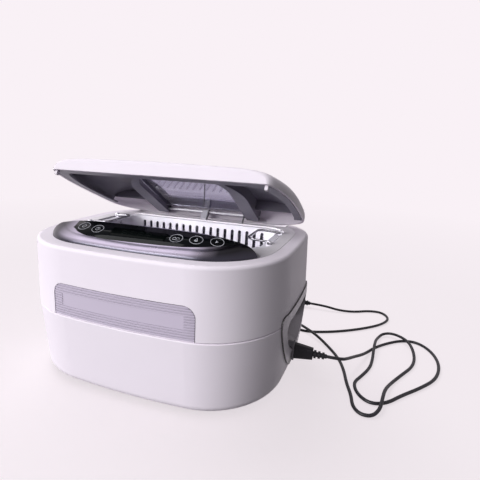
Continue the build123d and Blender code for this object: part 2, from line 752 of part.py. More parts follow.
panel_plane = Plane(origin=(0, RIDGE_Y, RIDGE_Z), x_dir=(1, 0, 0),
                    z_dir=(0, -sin(radians(PANEL_SLOPE)), cos(radians(PANEL_SLOPE))))
slope_stretch = 1 / cos(radians(PANEL_SLOPE))
DISPLAY_PLACE = (DISPLAY_X, (-78.5 - RIDGE_Y) * slope_stretch)
KEY_PLACES = [(x, (y - RIDGE_Y) * slope_stretch) for x, y in KEYS]
with BuildPart() as panel_hollow:
    extrude(crescent(DECK_BOTTOM_Z - 1, PANEL_SHEET), amount=40)
    add(panel_roof(-PANEL_SHEET), mode=Mode.INTERSECT)
with BuildPart() as glass_pocket:
    add(glass_prism(0.15))
    add(panel_roof(-GLASS), mode=Mode.SUBTRACT)
with BuildPart() as control_bezel:
    extrude(crescent(DECK_BOTTOM_Z, 0), amount=RIDGE_Z - 0.5 - DECK_BOTTOM_Z)
    add(panel_roof(0), mode=Mode.INTERSECT)
    add(panel_hollow.part, mode=Mode.SUBTRACT)
    add(glass_pocket.part, mode=Mode.SUBTRACT)
    with BuildSketch(panel_plane):
        with Locations(DISPLAY_PLACE):
            Rectangle(DISPLAY_WIDTH - 2, 8)
        with Locations(*KEY_PLACES):
            Circle(3.2)
    extrude(amount=-9, mode=Mode.SUBTRACT)
save(control_bezel, "control_bezel")

board_plane = panel_plane.offset(-PANEL_SHEET - 0.6 - DISPLAY_DEPTH)
with BuildPart() as display_module:
    with BuildSketch(board_plane):
        with Locations(DISPLAY_PLACE):
            RectangleRounded(DISPLAY_WIDTH, 10, 1)
    extrude(amount=DISPLAY_DEPTH)
save(display_module, "display_module")

with BuildPart() as touch_board:
    with BuildSketch(board_plane):
        with Locations((GLASS_X, DISPLAY_PLACE[1] + 1)):
            Rectangle(166, 11)
    extrude(amount=-1.6)
    with BuildSketch(board_plane):
        with Locations(*KEY_PLACES):
            Circle(2.8)
    extrude(amount=2.0)
save(touch_board, "touch_board")


# Two sandwich transducers under the tank floor

def transducer(side):
    """Return the horn, ceramic stack, back mass and clamp bolt of one transducer."""
    axis = Plane(origin=(side * HORN_X, TANK_Y, 0))
    with BuildPart(mode=Mode.PRIVATE) as horn:
        with BuildSketch(axis.offset(STACK_TOP_Z)):
            Circle(STACK_RADIUS)
        with BuildSketch(axis.offset(TANK_FLOOR_Z)):
            Circle(HORN_RADIUS)
        loft()
        with BuildSketch(axis.offset(STACK_TOP_Z)):
            Circle(BOLT_RADIUS + 0.05)
        extrude(amount=13, mode=Mode.SUBTRACT)
    with BuildPart(mode=Mode.PRIVATE) as stack:
        with BuildSketch(axis.offset(STACK_BOTTOM_Z)):
            Circle(STACK_RADIUS)
        extrude(amount=STACK_TOP_Z - STACK_BOTTOM_Z)
        for height in (STACK_BOTTOM_Z + 5.5, STACK_TOP_Z - 0.6):
            with BuildSketch(axis.offset(height)):
                Circle(STACK_RADIUS + 1)
            extrude(amount=0.5)
        with BuildSketch(axis.offset(STACK_BOTTOM_Z)):
            Circle(BOLT_RADIUS + 0.6)
        extrude(amount=STACK_TOP_Z - STACK_BOTTOM_Z, mode=Mode.SUBTRACT)
    with BuildPart(mode=Mode.PRIVATE) as back_mass:
        with BuildSketch(axis.offset(MASS_BOTTOM_Z)):
            Circle(STACK_RADIUS)
            Circle(BOLT_RADIUS + 0.4, mode=Mode.SUBTRACT)
        extrude(amount=STACK_BOTTOM_Z - MASS_BOTTOM_Z)
    with BuildPart(mode=Mode.PRIVATE) as bolt:
        with BuildSketch(axis.offset(MASS_BOTTOM_Z - BOLT_HEAD)):
            RegularPolygon(radius=8.6, side_count=6)
        extrude(amount=BOLT_HEAD)
        with BuildSketch(axis.offset(MASS_BOTTOM_Z)):
            Circle(BOLT_RADIUS)
        extrude(amount=STACK_TOP_Z + 12 - MASS_BOTTOM_Z)
    return {"horn": horn.part, "piezo_stack": stack.part, "back_mass": back_mass.part,
            "clamp_bolt": bolt.part}


for side, side_name in ((-1, "left"), (1, "right")):
    for piece_name, solid in transducer(side).items():
        with BuildPart() as transducer_piece:
            add(solid)
        save(transducer_piece, f"{piece_name}_{side_name}")


# Generator board, standing on its two posts behind the tank, with transformer and heat sink

BOARD_BOTTOM_Z = FOOT_HEIGHT + FLOOR + BOARD_POST_HEIGHT
with BuildPart() as driver_board:
    with BuildSketch(Plane(origin=(BOARD_X, BOARD_Y, BOARD_BOTTOM_Z), x_dir=(1, 0, 0),
                           z_dir=(0, 1, 0))) as board_profile:
        with Locations((0, -BOARD_HEIGHT / 2)):
            Rectangle(BOARD_WIDTH, BOARD_HEIGHT)
    extrude(amount=BOARD_THICK)
    with BuildSketch(Plane(origin=(BOARD_X, BOARD_Y, BOARD_BOTTOM_Z), x_dir=(1, 0, 0),
                           z_dir=(0, 1, 0))):
        with Locations((35, -20), (35, -34), (14, -20)):
            Circle(5.5)
    extrude(amount=14)
save(driver_board, "driver_board")

board_back = Plane(origin=(BOARD_X, BOARD_Y + BOARD_THICK, BOARD_BOTTOM_Z), x_dir=(1, 0, 0),
                   z_dir=(0, 1, 0))
with BuildPart() as transformer:
    with BuildSketch(board_back):
        with Locations((30, -62)):
            Rectangle(32, 30)
    extrude(amount=9)
    with BuildSketch(board_back):
        with Locations((30, -62)):
            RectangleRounded(22, 40, 4)
    extrude(amount=14)
save(transformer, "transformer")

with BuildPart() as heat_sink:
    with BuildSketch(board_back):
        with Locations((-28, -50)):
            Rectangle(54, 44)
    extrude(amount=3)
    with BuildSketch(board_back):
        with Locations((-28, -50)):
            with GridLocations(8.5, 0, 7, 1):
                Rectangle(1.6, 44)
    extrude(amount=14)
save(heat_sink, "heat_sink")


# Cooling fan behind the slots in the back wall

fan_plane = Plane(origin=(FAN_X, FAN_FRONT_Y, FAN_Z), x_dir=(1, 0, 0), z_dir=(0, 1, 0))
with BuildPart() as fan_frame:
    with BuildSketch(fan_plane):
        RectangleRounded(FAN_SIZE, FAN_SIZE, 4)
        Circle(FAN_BORE, mode=Mode.SUBTRACT)
        with GridLocations(FAN_SIZE - 9, FAN_SIZE - 9, 2, 2):
            Circle(2, mode=Mode.SUBTRACT)
    extrude(amount=FAN_DEPTH)
    with BuildSketch(fan_plane):
        Circle(FAN_HUB)
        with PolarLocations(FAN_BORE / 2 + 4, 3):
            Rectangle(FAN_BORE - 4, 3)
    extrude(amount=2)
    with BuildSketch(fan_plane):
        Circle(FAN_PIN)
    extrude(amount=12)
save(fan_frame, "fan_frame")

with BuildPart() as fan_rotor:
    with BuildSketch(fan_plane.offset(2.6)):
        Circle(FAN_HUB)
    extrude(amount=11)
    with BuildSketch(fan_plane.offset(4)):
        with PolarLocations((FAN_HUB + FAN_TIP) / 2 - 0.5, 7):
            Rectangle(FAN_TIP - FAN_HUB + 1, 1.4, rotation=0)
    extrude(amount=8)
    with BuildSketch(fan_plane.offset(2.6)):
        Circle(FAN_PIN + 0.06)
    extrude(amount=9.6, mode=Mode.SUBTRACT)
save(fan_rotor, "fan_rotor")


# Two-pole appliance inlet

with BuildPart() as ac_inlet:
    with BuildSketch(inlet_plane.offset(INLET_FLANGE_X + 0.1)):
        RectangleRounded(INLET_WIDTH + 2, INLET_HEIGHT + 3, 3)
    extrude(amount=INLET_FLANGE)
    with BuildSketch(inlet_plane.offset(INLET_BACK_X)):
        RectangleRounded(INLET_WIDTH, INLET_HEIGHT, 3)
    extrude(amount=INLET_FLANGE_X + 1 - INLET_BACK_X)
    with BuildSketch(inlet_plane.offset(INLET_BACK_X + 2)):
        RectangleRounded(INLET_WIDTH - 3, INLET_HEIGHT - 3, 2)
    extrude(amount=60, mode=Mode.SUBTRACT)
    with BuildSketch(inlet_plane.offset(INLET_BACK_X + 1)):
        with GridLocations(0, PIN_PITCH, 1, 2):
            Circle(PIN_RADIUS)
    extrude(amount=18)
save(ac_inlet, "ac_inlet")


# Lid, drawn open on its own tilted plane

lid_plane = Plane(origin=(0, HINGE_Y, HINGE_Z), x_dir=(1, 0, 0),
                  z_dir=(0, sin(radians(LID_OPEN)), cos(radians(LID_OPEN))))
lid_front = Vector(0, -cos(radians(LID_OPEN)), sin(radians(LID_OPEN)))
window_angle = radians(LID_OPEN + WINDOW_TILT)
window_plane = Plane(origin=(0, HINGE_Y, HINGE_Z), x_dir=(1, 0, 0),
                     z_dir=(0, sin(window_angle), cos(window_angle)))


def lid_solid(inset, bottom):
    """Return the lid's dome as a solid down to a level, drawn in all round by an inset."""
    with BuildPart(mode=Mode.PRIVATE) as dome:
        for station, half, height in LID_STATIONS:
            along = LID_MIDDLE + (station - LID_MIDDLE) * (1 - inset / LID_HALF_LENGTH)
            side = half - inset
            rise = height - inset
            section = Plane(origin=Vector(0, HINGE_Y, HINGE_Z) + lid_front * along,
                            x_dir=(1, 0, 0), z_dir=lid_front)
            edge = [(side, bottom), (0.985 * side, LID_RIM + 0.45 * rise),
                    (0.87 * side, LID_RIM + 0.8 * rise), (0.55 * side, LID_RIM + 0.95 * rise)]
            other = [(-x, w) for x, w in reversed(edge)]
            with BuildSketch(section):
                with BuildLine():
                    Spline(*edge, (0, LID_RIM + rise), *other)
                    Line(other[-1], edge[0])
                make_face()
        loft()
    return dome.part


def lid_slab(low, high):
    """Return everything between two levels over the lid's plane."""
    with BuildPart(mode=Mode.PRIVATE) as slab:
        with BuildSketch(lid_plane.offset(low)):
            Rectangle(600, 600)
        extrude(amount=high - low)
    return slab.part


def lid_window(grow, rear, low, high):
    """Return the window's outline as a block between two levels, from its rear edge forwards."""
    length = WINDOW_FRONT + grow - rear
    with BuildPart(mode=Mode.PRIVATE) as block:
        with BuildSketch(window_plane.offset(low)) as outline:
            with Locations((0, -rear - length / 2)):
                Rectangle(2 * (WINDOW_HALF_WIDTH + grow), length)
            fillet(outline.vertices().group_by(Axis.Y)[0], WINDOW_CORNER + grow)
        extrude(amount=high - low)
    return block.part


def arch_outline(grow, low, high):
    """Return the window arch's outer outline as a block between two levels."""
    front = WINDOW_FRONT + FRAME_FRONT_WIDTH + grow
    rear = FRAME_REAR - grow
    half = WINDOW_HALF_WIDTH + FRAME_WIDTH + grow
    with BuildPart(mode=Mode.PRIVATE) as block:
        with BuildSketch(window_plane.offset(low)) as outline:
            with Locations((0, -(front + rear) / 2)):
                Rectangle(2 * half, front - rear)
            fillet(outline.vertices().group_by(Axis.Y)[0], FRAME_CORNER + grow)
        extrude(amount=high - low)
    return block.part


def arch_block(shrink, low, high):
    """Return the window arch as a block, drawn in by the thickness of its walls."""
    with BuildPart(mode=Mode.PRIVATE) as block:
        add(arch_outline(-shrink, low, high))
        add(lid_window(shrink, -60, low - 1, high + 1), mode=Mode.SUBTRACT)
    return block.part


def lid_bar(radius, half_length):
    """Return a round bar along the hinge axis."""
    with BuildPart(mode=Mode.PRIVATE) as bar:
        with BuildSketch(Plane(origin=(0, HINGE_Y, HINGE_Z), x_dir=(0, 1, 0), z_dir=(1, 0, 0))):
            Circle(radius)
        extrude(amount=half_length, both=True)
    return bar.part


lid_inside = lid_solid(LID_SHEET, LID_RIM - 3)
with BuildPart() as lid_shell:
    add(lid_solid(0, LID_RIM))
    add(lid_inside, mode=Mode.SUBTRACT)
    add(lid_window(0, WINDOW_REAR, 0, 60), mode=Mode.SUBTRACT)
save(lid_shell, "lid_shell")

with BuildPart() as window_pane:
    add(lid_window(-WINDOW_PLAY, WINDOW_REAR + WINDOW_PLAY, PANE_LEVEL, PANE_LEVEL + PANE_SHEET))
save(window_pane, "window_pane")

lid_liner_space = lid_solid(LID_SHEET + LINER_PLAY, LID_RIM)
with BuildPart() as window_frame:
    add(arch_block(0, FRAME_BOTTOM, 60))
    add(arch_block(FRAME_SHEET, FRAME_BOTTOM + FRAME_SHEET, 70), mode=Mode.SUBTRACT)
    with BuildSketch(window_plane.offset(PANE_LEVEL)):
        with Locations((0, FRAME_SHEET / 2 - WINDOW_REAR)):
            Rectangle(2 * WINDOW_HALF_WIDTH + FRAME_SHEET, FRAME_SHEET)
    extrude(amount=60)
    add(lid_liner_space, mode=Mode.INTERSECT)
    add(lid_bar(ROD_RADIUS + 0.02, ROD_HALF_LENGTH + 0.2), mode=Mode.SUBTRACT)
save(window_frame, "window_frame")

liner_rim = lid_liner_space & lid_slab(LID_RIM - 1, LID_RIM + LINER_SHEET)
with BuildPart() as liner_skin:
    add(lid_liner_space)
    add(lid_solid(LID_SHEET + LINER_PLAY + LINER_SHEET, LID_RIM - 5), mode=Mode.SUBTRACT)
    add(liner_rim - lid_solid(LID_SHEET + LINER_BAND, LID_RIM - 5))
    add(arch_outline(GAP, FRAME_BOTTOM - 2, 70), mode=Mode.SUBTRACT)
for side, side_name in ((-1, "left"), (1, "right")):
    with BuildPart() as lid_liner:
        add(liner_skin.part)
        with BuildSketch(lid_plane.offset(-20)):
            with Locations((side * (100 + GAP / 2), -LINER_REAR - 100)):
                Rectangle(200, 200)
        extrude(amount=60, mode=Mode.INTERSECT)
    save(lid_liner, f"lid_liner_{side_name}")

with BuildPart() as hinge_rod:
    add(lid_bar(ROD_RADIUS, ROD_HALF_LENGTH))
    chamfer(hinge_rod.faces().filter_by(Axis.X).edges(), 0.3)
save(hinge_rod, "hinge_rod")

with BuildPart() as lid_bumpers:
    with BuildSketch(lid_plane.offset(LID_RIM)):
        with Locations((-BUMPER_PLACE[0], -BUMPER_PLACE[1]), (BUMPER_PLACE[0], -BUMPER_PLACE[1])):
            Rectangle(3, 4)
    extrude(amount=-BUMPER_HEIGHT)
save(lid_bumpers, "lid_bumpers")


# The rod's two holders, fixed to the deck

with BuildPart() as hinge_clip:
    with BuildSketch(Plane(origin=(0, 0, 0), x_dir=(0, 1, 0), z_dir=(1, 0, 0))):
        with Locations((HINGE_Y, HINGE_Z)):
            Circle(CLIP_RADIUS)
        with Locations((HINGE_Y - 8.2, DECK_TOP_Z + 1)):
            Rectangle(4, 2)
        make_hull()
        with Locations((HINGE_Y, HINGE_Z)):
            Circle(ROD_RADIUS + ROD_PLAY, mode=Mode.SUBTRACT)
    extrude(amount=CLIP_WIDTH / 2, both=True)
save(hinge_clip, "hinge_clip")

with BuildPart() as hinge_stay:
    with BuildSketch(Plane(origin=(STAY_X, HINGE_Y, HINGE_Z), x_dir=(0, 1, 0), z_dir=(1, 0, 0))):
        Circle(ROD_RADIUS + ROD_PLAY + 1.5)
    extrude(amount=1.4, both=True)
    with BuildLine() as stay_path:
        FilletPolyline((STAY_X, HINGE_Y - 1, HINGE_Z - 1), (STAY_X, STAY_FOOT_Y, DECK_TOP_Z + 2),
                       (STAY_X, STAY_FOOT_Y, DECK_BOTTOM_Z + 0.2), radius=2.0)
    with BuildSketch(stay_path.line ^ 0):
        Circle(1)
    sweep()
    add(lid_bar(ROD_RADIUS + ROD_PLAY, ROD_HALF_LENGTH), mode=Mode.SUBTRACT)
save(hinge_stay, "hinge_stay")


# Appliance connector with its ribbed sleeve

with BuildPart() as power_connector:
    with BuildSketch(inlet_plane.offset(CONNECTOR_X)):
        RectangleRounded(11, 18, 3.5)
    with BuildSketch(inlet_plane.offset(CONNECTOR_END_X)):
        RectangleRounded(9, 13.5, 3.5)
    loft()
    with BuildSketch(inlet_plane.offset(INLET_BACK_X + 10)):
        RectangleRounded(INLET_WIDTH - 3.6, INLET_HEIGHT - 3.6, 1.7)
    extrude(amount=CONNECTOR_X + 1 - INLET_BACK_X - 10)
    with BuildSketch(inlet_plane.offset(INLET_BACK_X + 9)):
        with GridLocations(0, PIN_PITCH, 1, 2):
            Circle(PIN_RADIUS + 0.1)
    extrude(amount=14, mode=Mode.SUBTRACT)
    with BuildSketch(inlet_plane.offset(SLEEVE_START_X)):
        Circle(3.5)
    extrude(amount=30, mode=Mode.SUBTRACT)
save(power_connector, "power_connector")

with BuildPart() as strain_relief:
    with BuildSketch(inlet_plane.offset(SLEEVE_START_X)):
        Circle(3.45)
    with BuildSketch(inlet_plane.offset(SLEEVE_END_X)):
        Circle(2.4)
    loft()
    for rib in range(3):
        with BuildSketch(inlet_plane.offset(CONNECTOR_END_X + 1.2 + 4.6 * rib)):
            Circle(4.6 - 0.4 * rib)
        extrude(amount=2.4)
save(strain_relief, "strain_relief")


# Power cord: from the sleeve down to the surface, round in two loops and back behind the object

CORD_LOW_Z = CORD_DIAMETER / 2 + 0.05
CORD_OVER_Z = 3 * CORD_DIAMETER / 2 + 1.1
CORD_ROUTE = (
    (SLEEVE_END_X, INLET_Y, INLET_Z), (199, INLET_Y, INLET_Z), (206, 20, 19), (212, 37, 13),
    (220, 54, 7.5), (227, 71, 3), (236, 89, CORD_LOW_Z), (251, 107, CORD_LOW_Z),
    (271, 124, CORD_LOW_Z), (291, 127, CORD_LOW_Z), (306, 108, CORD_LOW_Z),
    (311, 78, CORD_LOW_Z), (303, 44, CORD_LOW_Z), (283, 18, CORD_LOW_Z), (263, -3, CORD_LOW_Z),
    (248, -22, CORD_LOW_Z), (232, -29, CORD_LOW_Z), (219, -18, CORD_LOW_Z),
    (214, 1, CORD_LOW_Z), (222, 17, CORD_LOW_Z), (231, 38, CORD_LOW_Z),
    (234, 58, CORD_LOW_Z), (235, 78, CORD_OVER_Z), (237, 100, CORD_OVER_Z),
    (241, 120, CORD_LOW_Z), (247, 132, 3), (259, 134.5, 5), (273, 123, CORD_OVER_Z),
    (281, 106, CORD_OVER_Z), (284, 84, CORD_LOW_Z), (279, 60, CORD_LOW_Z),
    (266, 38, CORD_LOW_Z), (253, 15, CORD_LOW_Z), (246, -6, CORD_OVER_Z),
    (243, -25, CORD_OVER_Z), (241, -38, 4.5), (234, -48, CORD_LOW_Z), (222.5, -49, CORD_LOW_Z),
    (215, -39, CORD_LOW_Z), (213, -22, CORD_LOW_Z), (207, -2, CORD_LOW_Z),
    (203, 20, CORD_LOW_Z), (196, 43, CORD_LOW_Z), (183, 65, CORD_LOW_Z),
    (162, 86, CORD_OVER_Z), (138, 107, CORD_OVER_Z), (116, 130, CORD_LOW_Z),
    (96, 146, CORD_LOW_Z), (76, 152, CORD_LOW_Z), (58, 146, CORD_LOW_Z), (51, 132, CORD_LOW_Z),
    (61, 119, CORD_LOW_Z), (79, 118, CORD_LOW_Z), (101, 115, CORD_LOW_Z),
    (123, 106, CORD_LOW_Z), (144, 98, CORD_LOW_Z), (170, 107, CORD_LOW_Z),
    (197, 122, CORD_LOW_Z), (225, 143, CORD_LOW_Z), (247, 165, CORD_LOW_Z),
    (258, 189, CORD_LOW_Z), (248, 209, CORD_LOW_Z), (228, 207, CORD_LOW_Z),
    (206, 193, CORD_LOW_Z), (183, 187, 3), (160, PLUG_Y, PLUG_Z), (PLUG_START_X, PLUG_Y, PLUG_Z),
)


def cord_radii(route):
    """Return an arc radius for each corner, as large as its two runs allow."""
    points = [Vector(*point) for point in route]
    radii = []
    for before, corner, after in zip(points, points[1:], points[2:]):
        turn = (corner - before).get_angle(after - corner)
        shorter = min((corner - before).length, (after - corner).length)
        radii.append(0.45 * shorter / tan(radians(turn / 2)))
    return radii


CORD_RADII = cord_radii(CORD_ROUTE)
print("cord radii", [round(radius) for radius in CORD_RADII])

with BuildPart() as cord:
    with BuildLine() as cord_path:
        FilletPolyline(*CORD_ROUTE, radius=CORD_RADII)
    with BuildSketch(cord_path.line ^ 0):
        Circle(CORD_DIAMETER / 2)
    sweep()
cord_length = sum(edge.length for edge in cord_path.edges())
print("cord length", round(cord_length), "volume over section times length",
      round(cord.part.volume / (pi * CORD_DIAMETER**2 / 4 * cord_length), 4))
save(cord, "cord")


# Two-pin mains plug, lying behind the object

plug_plane = Plane(origin=(PLUG_START_X, PLUG_Y, PLUG_Z), x_dir=(0, 1, 0), z_dir=(-1, 0, 0))
with BuildPart() as mains_plug:
    with BuildSketch(plug_plane):
        Circle(2.6)
    with BuildSketch(plug_plane.offset(PLUG_BOOT)):
        Circle(4.8)
    loft()
    for rib in range(4):
        with BuildSketch(plug_plane.offset(3.4 + 4.6 * rib)):
            Circle(3.9 + 0.5 * rib)
        extrude(amount=2.2)
    with BuildSketch(plug_plane.offset(PLUG_BOOT)):
        RectangleRounded(15, 11, 4)
    with BuildSketch(plug_plane.offset(PLUG_BOOT + 14)):
        RectangleRounded(PLUG_WIDTH, 2 * PLUG_Z - 0.4, 5)
    loft()
    with BuildSketch(plug_plane.offset(PLUG_BOOT + 14)):
        RectangleRounded(PLUG_WIDTH, 2 * PLUG_Z - 0.4, 5)
    extrude(amount=PLUG_BODY - 14)
    with BuildSketch(plug_plane.offset(PLUG_BOOT + PLUG_BODY - 3)):
        with GridLocations(PLUG_PITCH, 0, 2, 1):
            Circle(2.4)
    extrude(amount=10, mode=Mode.SUBTRACT)
save(mains_plug, "mains_plug")

with BuildPart() as plug_pins:
    with BuildSketch(plug_plane.offset(PLUG_BOOT + PLUG_BODY - 3)):
        with GridLocations(PLUG_PITCH, 0, 2, 1):
            Circle(2.38)
    extrude(amount=22)
    fillet(plug_pins.faces().filter_by(Axis.X).sort_by(Axis.X)[:2].edges(), 1.6)
save(plug_pins, "plug_pins")
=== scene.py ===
from math import cos, pi, radians, sin

import bpy
import numpy as np
from mathutils import Matrix, Vector


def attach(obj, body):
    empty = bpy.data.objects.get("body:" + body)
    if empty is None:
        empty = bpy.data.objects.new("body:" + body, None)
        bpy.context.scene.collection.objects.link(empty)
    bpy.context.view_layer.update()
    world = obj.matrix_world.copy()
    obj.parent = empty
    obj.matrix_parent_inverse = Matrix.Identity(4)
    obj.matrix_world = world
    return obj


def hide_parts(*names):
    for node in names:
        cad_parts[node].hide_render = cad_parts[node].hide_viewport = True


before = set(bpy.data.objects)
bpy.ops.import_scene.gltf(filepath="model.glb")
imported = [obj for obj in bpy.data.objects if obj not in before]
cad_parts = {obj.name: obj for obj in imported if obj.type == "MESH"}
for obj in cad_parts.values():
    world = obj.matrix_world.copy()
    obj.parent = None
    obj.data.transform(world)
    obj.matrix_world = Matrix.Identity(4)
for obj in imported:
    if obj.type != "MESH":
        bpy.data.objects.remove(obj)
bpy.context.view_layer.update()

bl_info = {
    "name": "Ultrasonic Cleaner Finish",
    "version": (1, 0, 0),
    "blender": (4, 5, 0),
    "location": "View3D > Sidebar > Cleaner",
    "description": "Finishes, printed marks, power cord and stage for a table-top ultrasonic cleaner",
    "category": "Object",
}

# The sloping control panel, in millimetres: its ridge, its slope and how far its ends drop
PANEL_RIDGE_Y = -67.0
PANEL_RIDGE_Z = 168.4
PANEL_SLOPE = radians(28)
PANEL_DROP = 10.0
PANEL_HALF_WIDTH = 116.0
GLASS_LIFT = 0.1

# The lid's own frame: hinge axis, how far the lid and its window stand open in the
# photograph's pose, and the level of the pane's underside over the hinge
HINGE_Y = 83.0
HINGE_Z = 159.0
LID_OPEN = radians(24.3)
WINDOW_OPEN = radians(31.9)
PANE_LEVEL = 1.8

# The control panel's outline: a flat front arc and two corner arcs, and where its rear wall is
FRONT_CENTRE_Y = 705.0
FRONT_RADIUS = 804.7
CORNER_CENTRE = (59.1, -28.6)
CORNER_RADIUS = 68.7
PANEL_REAR_Y = -65.5
PANEL_TIP_X = 117.0
PANEL_FOOT_Z = 147.4
PANEL_EDGE_Z = 149.9

# The flex's route, in millimetres: low on the table, and humped where it crosses itself
LOW = 1.85
OVER = 6.5
CORD_ROUTE = (
    (183, 5, 24.5), (199, 5, 24.5), (206, 20, 19), (212, 37, 13), (220, 54, 7.5), (227, 71, 3),
    (236, 89, LOW), (251, 107, LOW), (271, 124, LOW), (291, 127, LOW), (306, 108, LOW),
    (311, 78, LOW), (303, 44, LOW), (283, 18, LOW), (263, -3, LOW), (248, -22, LOW),
    (232, -29, LOW), (219, -18, LOW), (214, 1, LOW), (222, 17, LOW), (231, 38, LOW),
    (234, 58, LOW), (235, 78, OVER), (237, 100, OVER), (241, 120, LOW), (247, 132, 3),
    (259, 134.5, 5), (273, 123, OVER), (281, 106, OVER), (284, 84, LOW), (279, 60, LOW),
    (266, 38, LOW), (253, 15, LOW), (246, -6, OVER), (243, -25, OVER), (241, -38, 4.5),
    (234, -48, LOW), (222.5, -49, LOW), (215, -39, LOW), (213, -22, LOW), (207, -2, LOW),
    (203, 20, LOW), (196, 43, LOW), (183, 65, LOW), (162, 86, OVER), (138, 107, OVER),
    (116, 130, LOW), (96, 146, LOW), (76, 152, LOW), (58, 146, LOW), (51, 132, LOW),
    (61, 119, LOW), (79, 118, LOW), (101, 115, LOW), (123, 106, LOW), (144, 98, LOW),
    (170, 107, LOW), (197, 122, LOW), (225, 143, LOW), (247, 165, LOW), (258, 189, LOW),
    (248, 209, LOW), (228, 207, LOW), (206, 193, LOW), (183, 187, 3), (160, 187, 6.8),
    (138, 187, 6.8),
)


def srgb(red, green, blue):
    """Return a display colour, 0 to 255 a channel, as a linear colour with full alpha."""
    shares = (channel / 255 for channel in (red, green, blue))
    linear = [s / 12.92 if s <= 0.04045 else ((s + 0.055) / 1.055) ** 2.4 for s in shares]
    return (*linear, 1.0)


def colour_property(name, description, default):
    """Return a colour property with its alpha fixed at one."""
    return bpy.props.FloatVectorProperty(name=name, description=description, subtype="COLOR",
                                         size=4, min=0, max=1, default=default)


def length_property(name, description, default):
    """Return a length property, in metres."""
    return bpy.props.FloatProperty(name=name, description=description, default=default,
                                   min=0, subtype="DISTANCE", unit="LENGTH")


# Finishes

class Finish:
    """One node material: a Principled shader whose patterns read Object coordinates."""

    def __init__(self, name, **values):
        self.material = bpy.data.materials.new(name)
        self.material.use_nodes = True
        self.tree = self.material.node_tree
        self.shader = self.tree.nodes["Principled BSDF"]
        self.place = self.tree.nodes.new("ShaderNodeTexCoord").outputs["Object"]
        for socket, value in values.items():
            self.shader.inputs[socket.replace("_", " ")].default_value = value

    def link(self, output, socket):
        self.tree.links.new(output, socket)

    def node(self, kind, **values):
        made = self.tree.nodes.new(kind)
        for socket, value in values.items():
            made.inputs[socket.replace("_", " ")].default_value = value
        return made

    def stretched(self, stretch):
        """Object coordinates scaled along each axis, for streaks and grain."""
        mapping = self.node("ShaderNodeMapping", Scale=stretch)
        self.link(self.place, mapping.inputs["Vector"])
        return mapping.outputs["Vector"]

    def noise(self, scale, detail=3.0, stretch=None):
        noise = self.node("ShaderNodeTexNoise", Scale=scale, Detail=detail)
        self.link(self.stretched(stretch) if stretch else self.place, noise.inputs["Vector"])
        return noise.outputs["Fac"]

    def spread(self, pattern, low, high, start=0.3, end=0.7):
        """A pattern's values from start to end, mapped to a range."""
        mapped = self.node("ShaderNodeMapRange")
        for socket, value in (("From Min", start), ("From Max", end), ("To Min", low),
                              ("To Max", high)):
            mapped.inputs[socket].default_value = value
        self.link(pattern, mapped.inputs["Value"])
        return mapped.outputs["Result"]

    def colours(self, pattern, first, second, start=0.3, end=0.7):
        """Base colour that runs from the first colour to the second with a pattern."""
        ramp = self.node("ShaderNodeValToRGB")
        ramp.color_ramp.elements[0].position = start
        ramp.color_ramp.elements[0].color = first
        ramp.color_ramp.elements[1].position = end
        ramp.color_ramp.elements[1].color = second
        self.link(pattern, ramp.inputs["Fac"])
        self.link(ramp.outputs["Color"], self.shader.inputs["Base Color"])
        return self

    def roughness(self, pattern, low, high):
        self.link(self.spread(pattern, low, high), self.shader.inputs["Roughness"])
        return self

    def bump(self, pattern, distance, strength=1.0):
        bump = self.node("ShaderNodeBump", Strength=strength, Distance=distance)
        self.link(pattern, bump.inputs["Height"])
        self.link(bump.outputs["Normal"], self.shader.inputs["Normal"])
        return self


def shade(colour, share):
    """Return a colour made darker or lighter by a share of itself."""
    return (*(min(1.0, channel * share) for channel in colour[:3]), 1.0)


def moulded(name, colour, gloss=0.34, grain=0.00002, mottle=0.03, shine=0.5):
    """Moulded plastic: slow colour drift, an uneven gloss and a fine moulding grain."""
    finish = Finish(name, IOR=1.46, Specular_IOR_Level=shine)
    drift = finish.noise(9.0, 4.0)
    finish.colours(drift, shade(colour, 1 - mottle), shade(colour, 1 + mottle / 3))
    finish.roughness(finish.noise(60.0, 5.0), gloss - 0.04, gloss + 0.06)
    finish.bump(finish.noise(1400.0, 2.0), grain)
    return finish.material


def sheet_metal(name, colour, gloss=0.24, stretch=(14.0, 900.0, 900.0), depth=0.00001):
    """Brushed sheet metal: streaks along one axis in colour, gloss and relief."""
    finish = Finish(name, Metallic=1.0)
    streaks = finish.noise(1.0, 4.0, stretch)
    finish.colours(streaks, shade(colour, 0.88), shade(colour, 1.06))
    finish.roughness(streaks, gloss - 0.05, gloss + 0.08)
    finish.bump(streaks, depth, 0.6)
    return finish.material


def cast_metal(name, colour, gloss=0.38):
    """Turned or plated metal with a cloudy surface."""
    finish = Finish(name, Metallic=1.0)
    clouds = finish.noise(160.0, 4.0)
    finish.colours(clouds, shade(colour, 0.85), shade(colour, 1.05))
    finish.roughness(clouds, gloss - 0.08, gloss + 0.1)
    finish.bump(finish.noise(2400.0), 0.00001)
    return finish.material


def polished(name, colour, gloss):
    """Smooth bright metal with slow clouds in its colour and gloss."""
    finish = Finish(name, Metallic=1.0)
    clouds = finish.noise(45.0, 3.0)
    finish.colours(clouds, shade(colour, 0.9), shade(colour, 1.05))
    finish.roughness(clouds, gloss - 0.03, gloss + 0.05)
    return finish.material


def dress(finish, *nodes):
    """Put a finish on the frame's own pieces."""
    for name in nodes:
        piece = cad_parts[name]
        if piece.material_slots:
            for slot in piece.material_slots:
                slot.material = finish
        else:
            piece.data.materials.append(finish)


# New pieces, as surfaces over two parameters

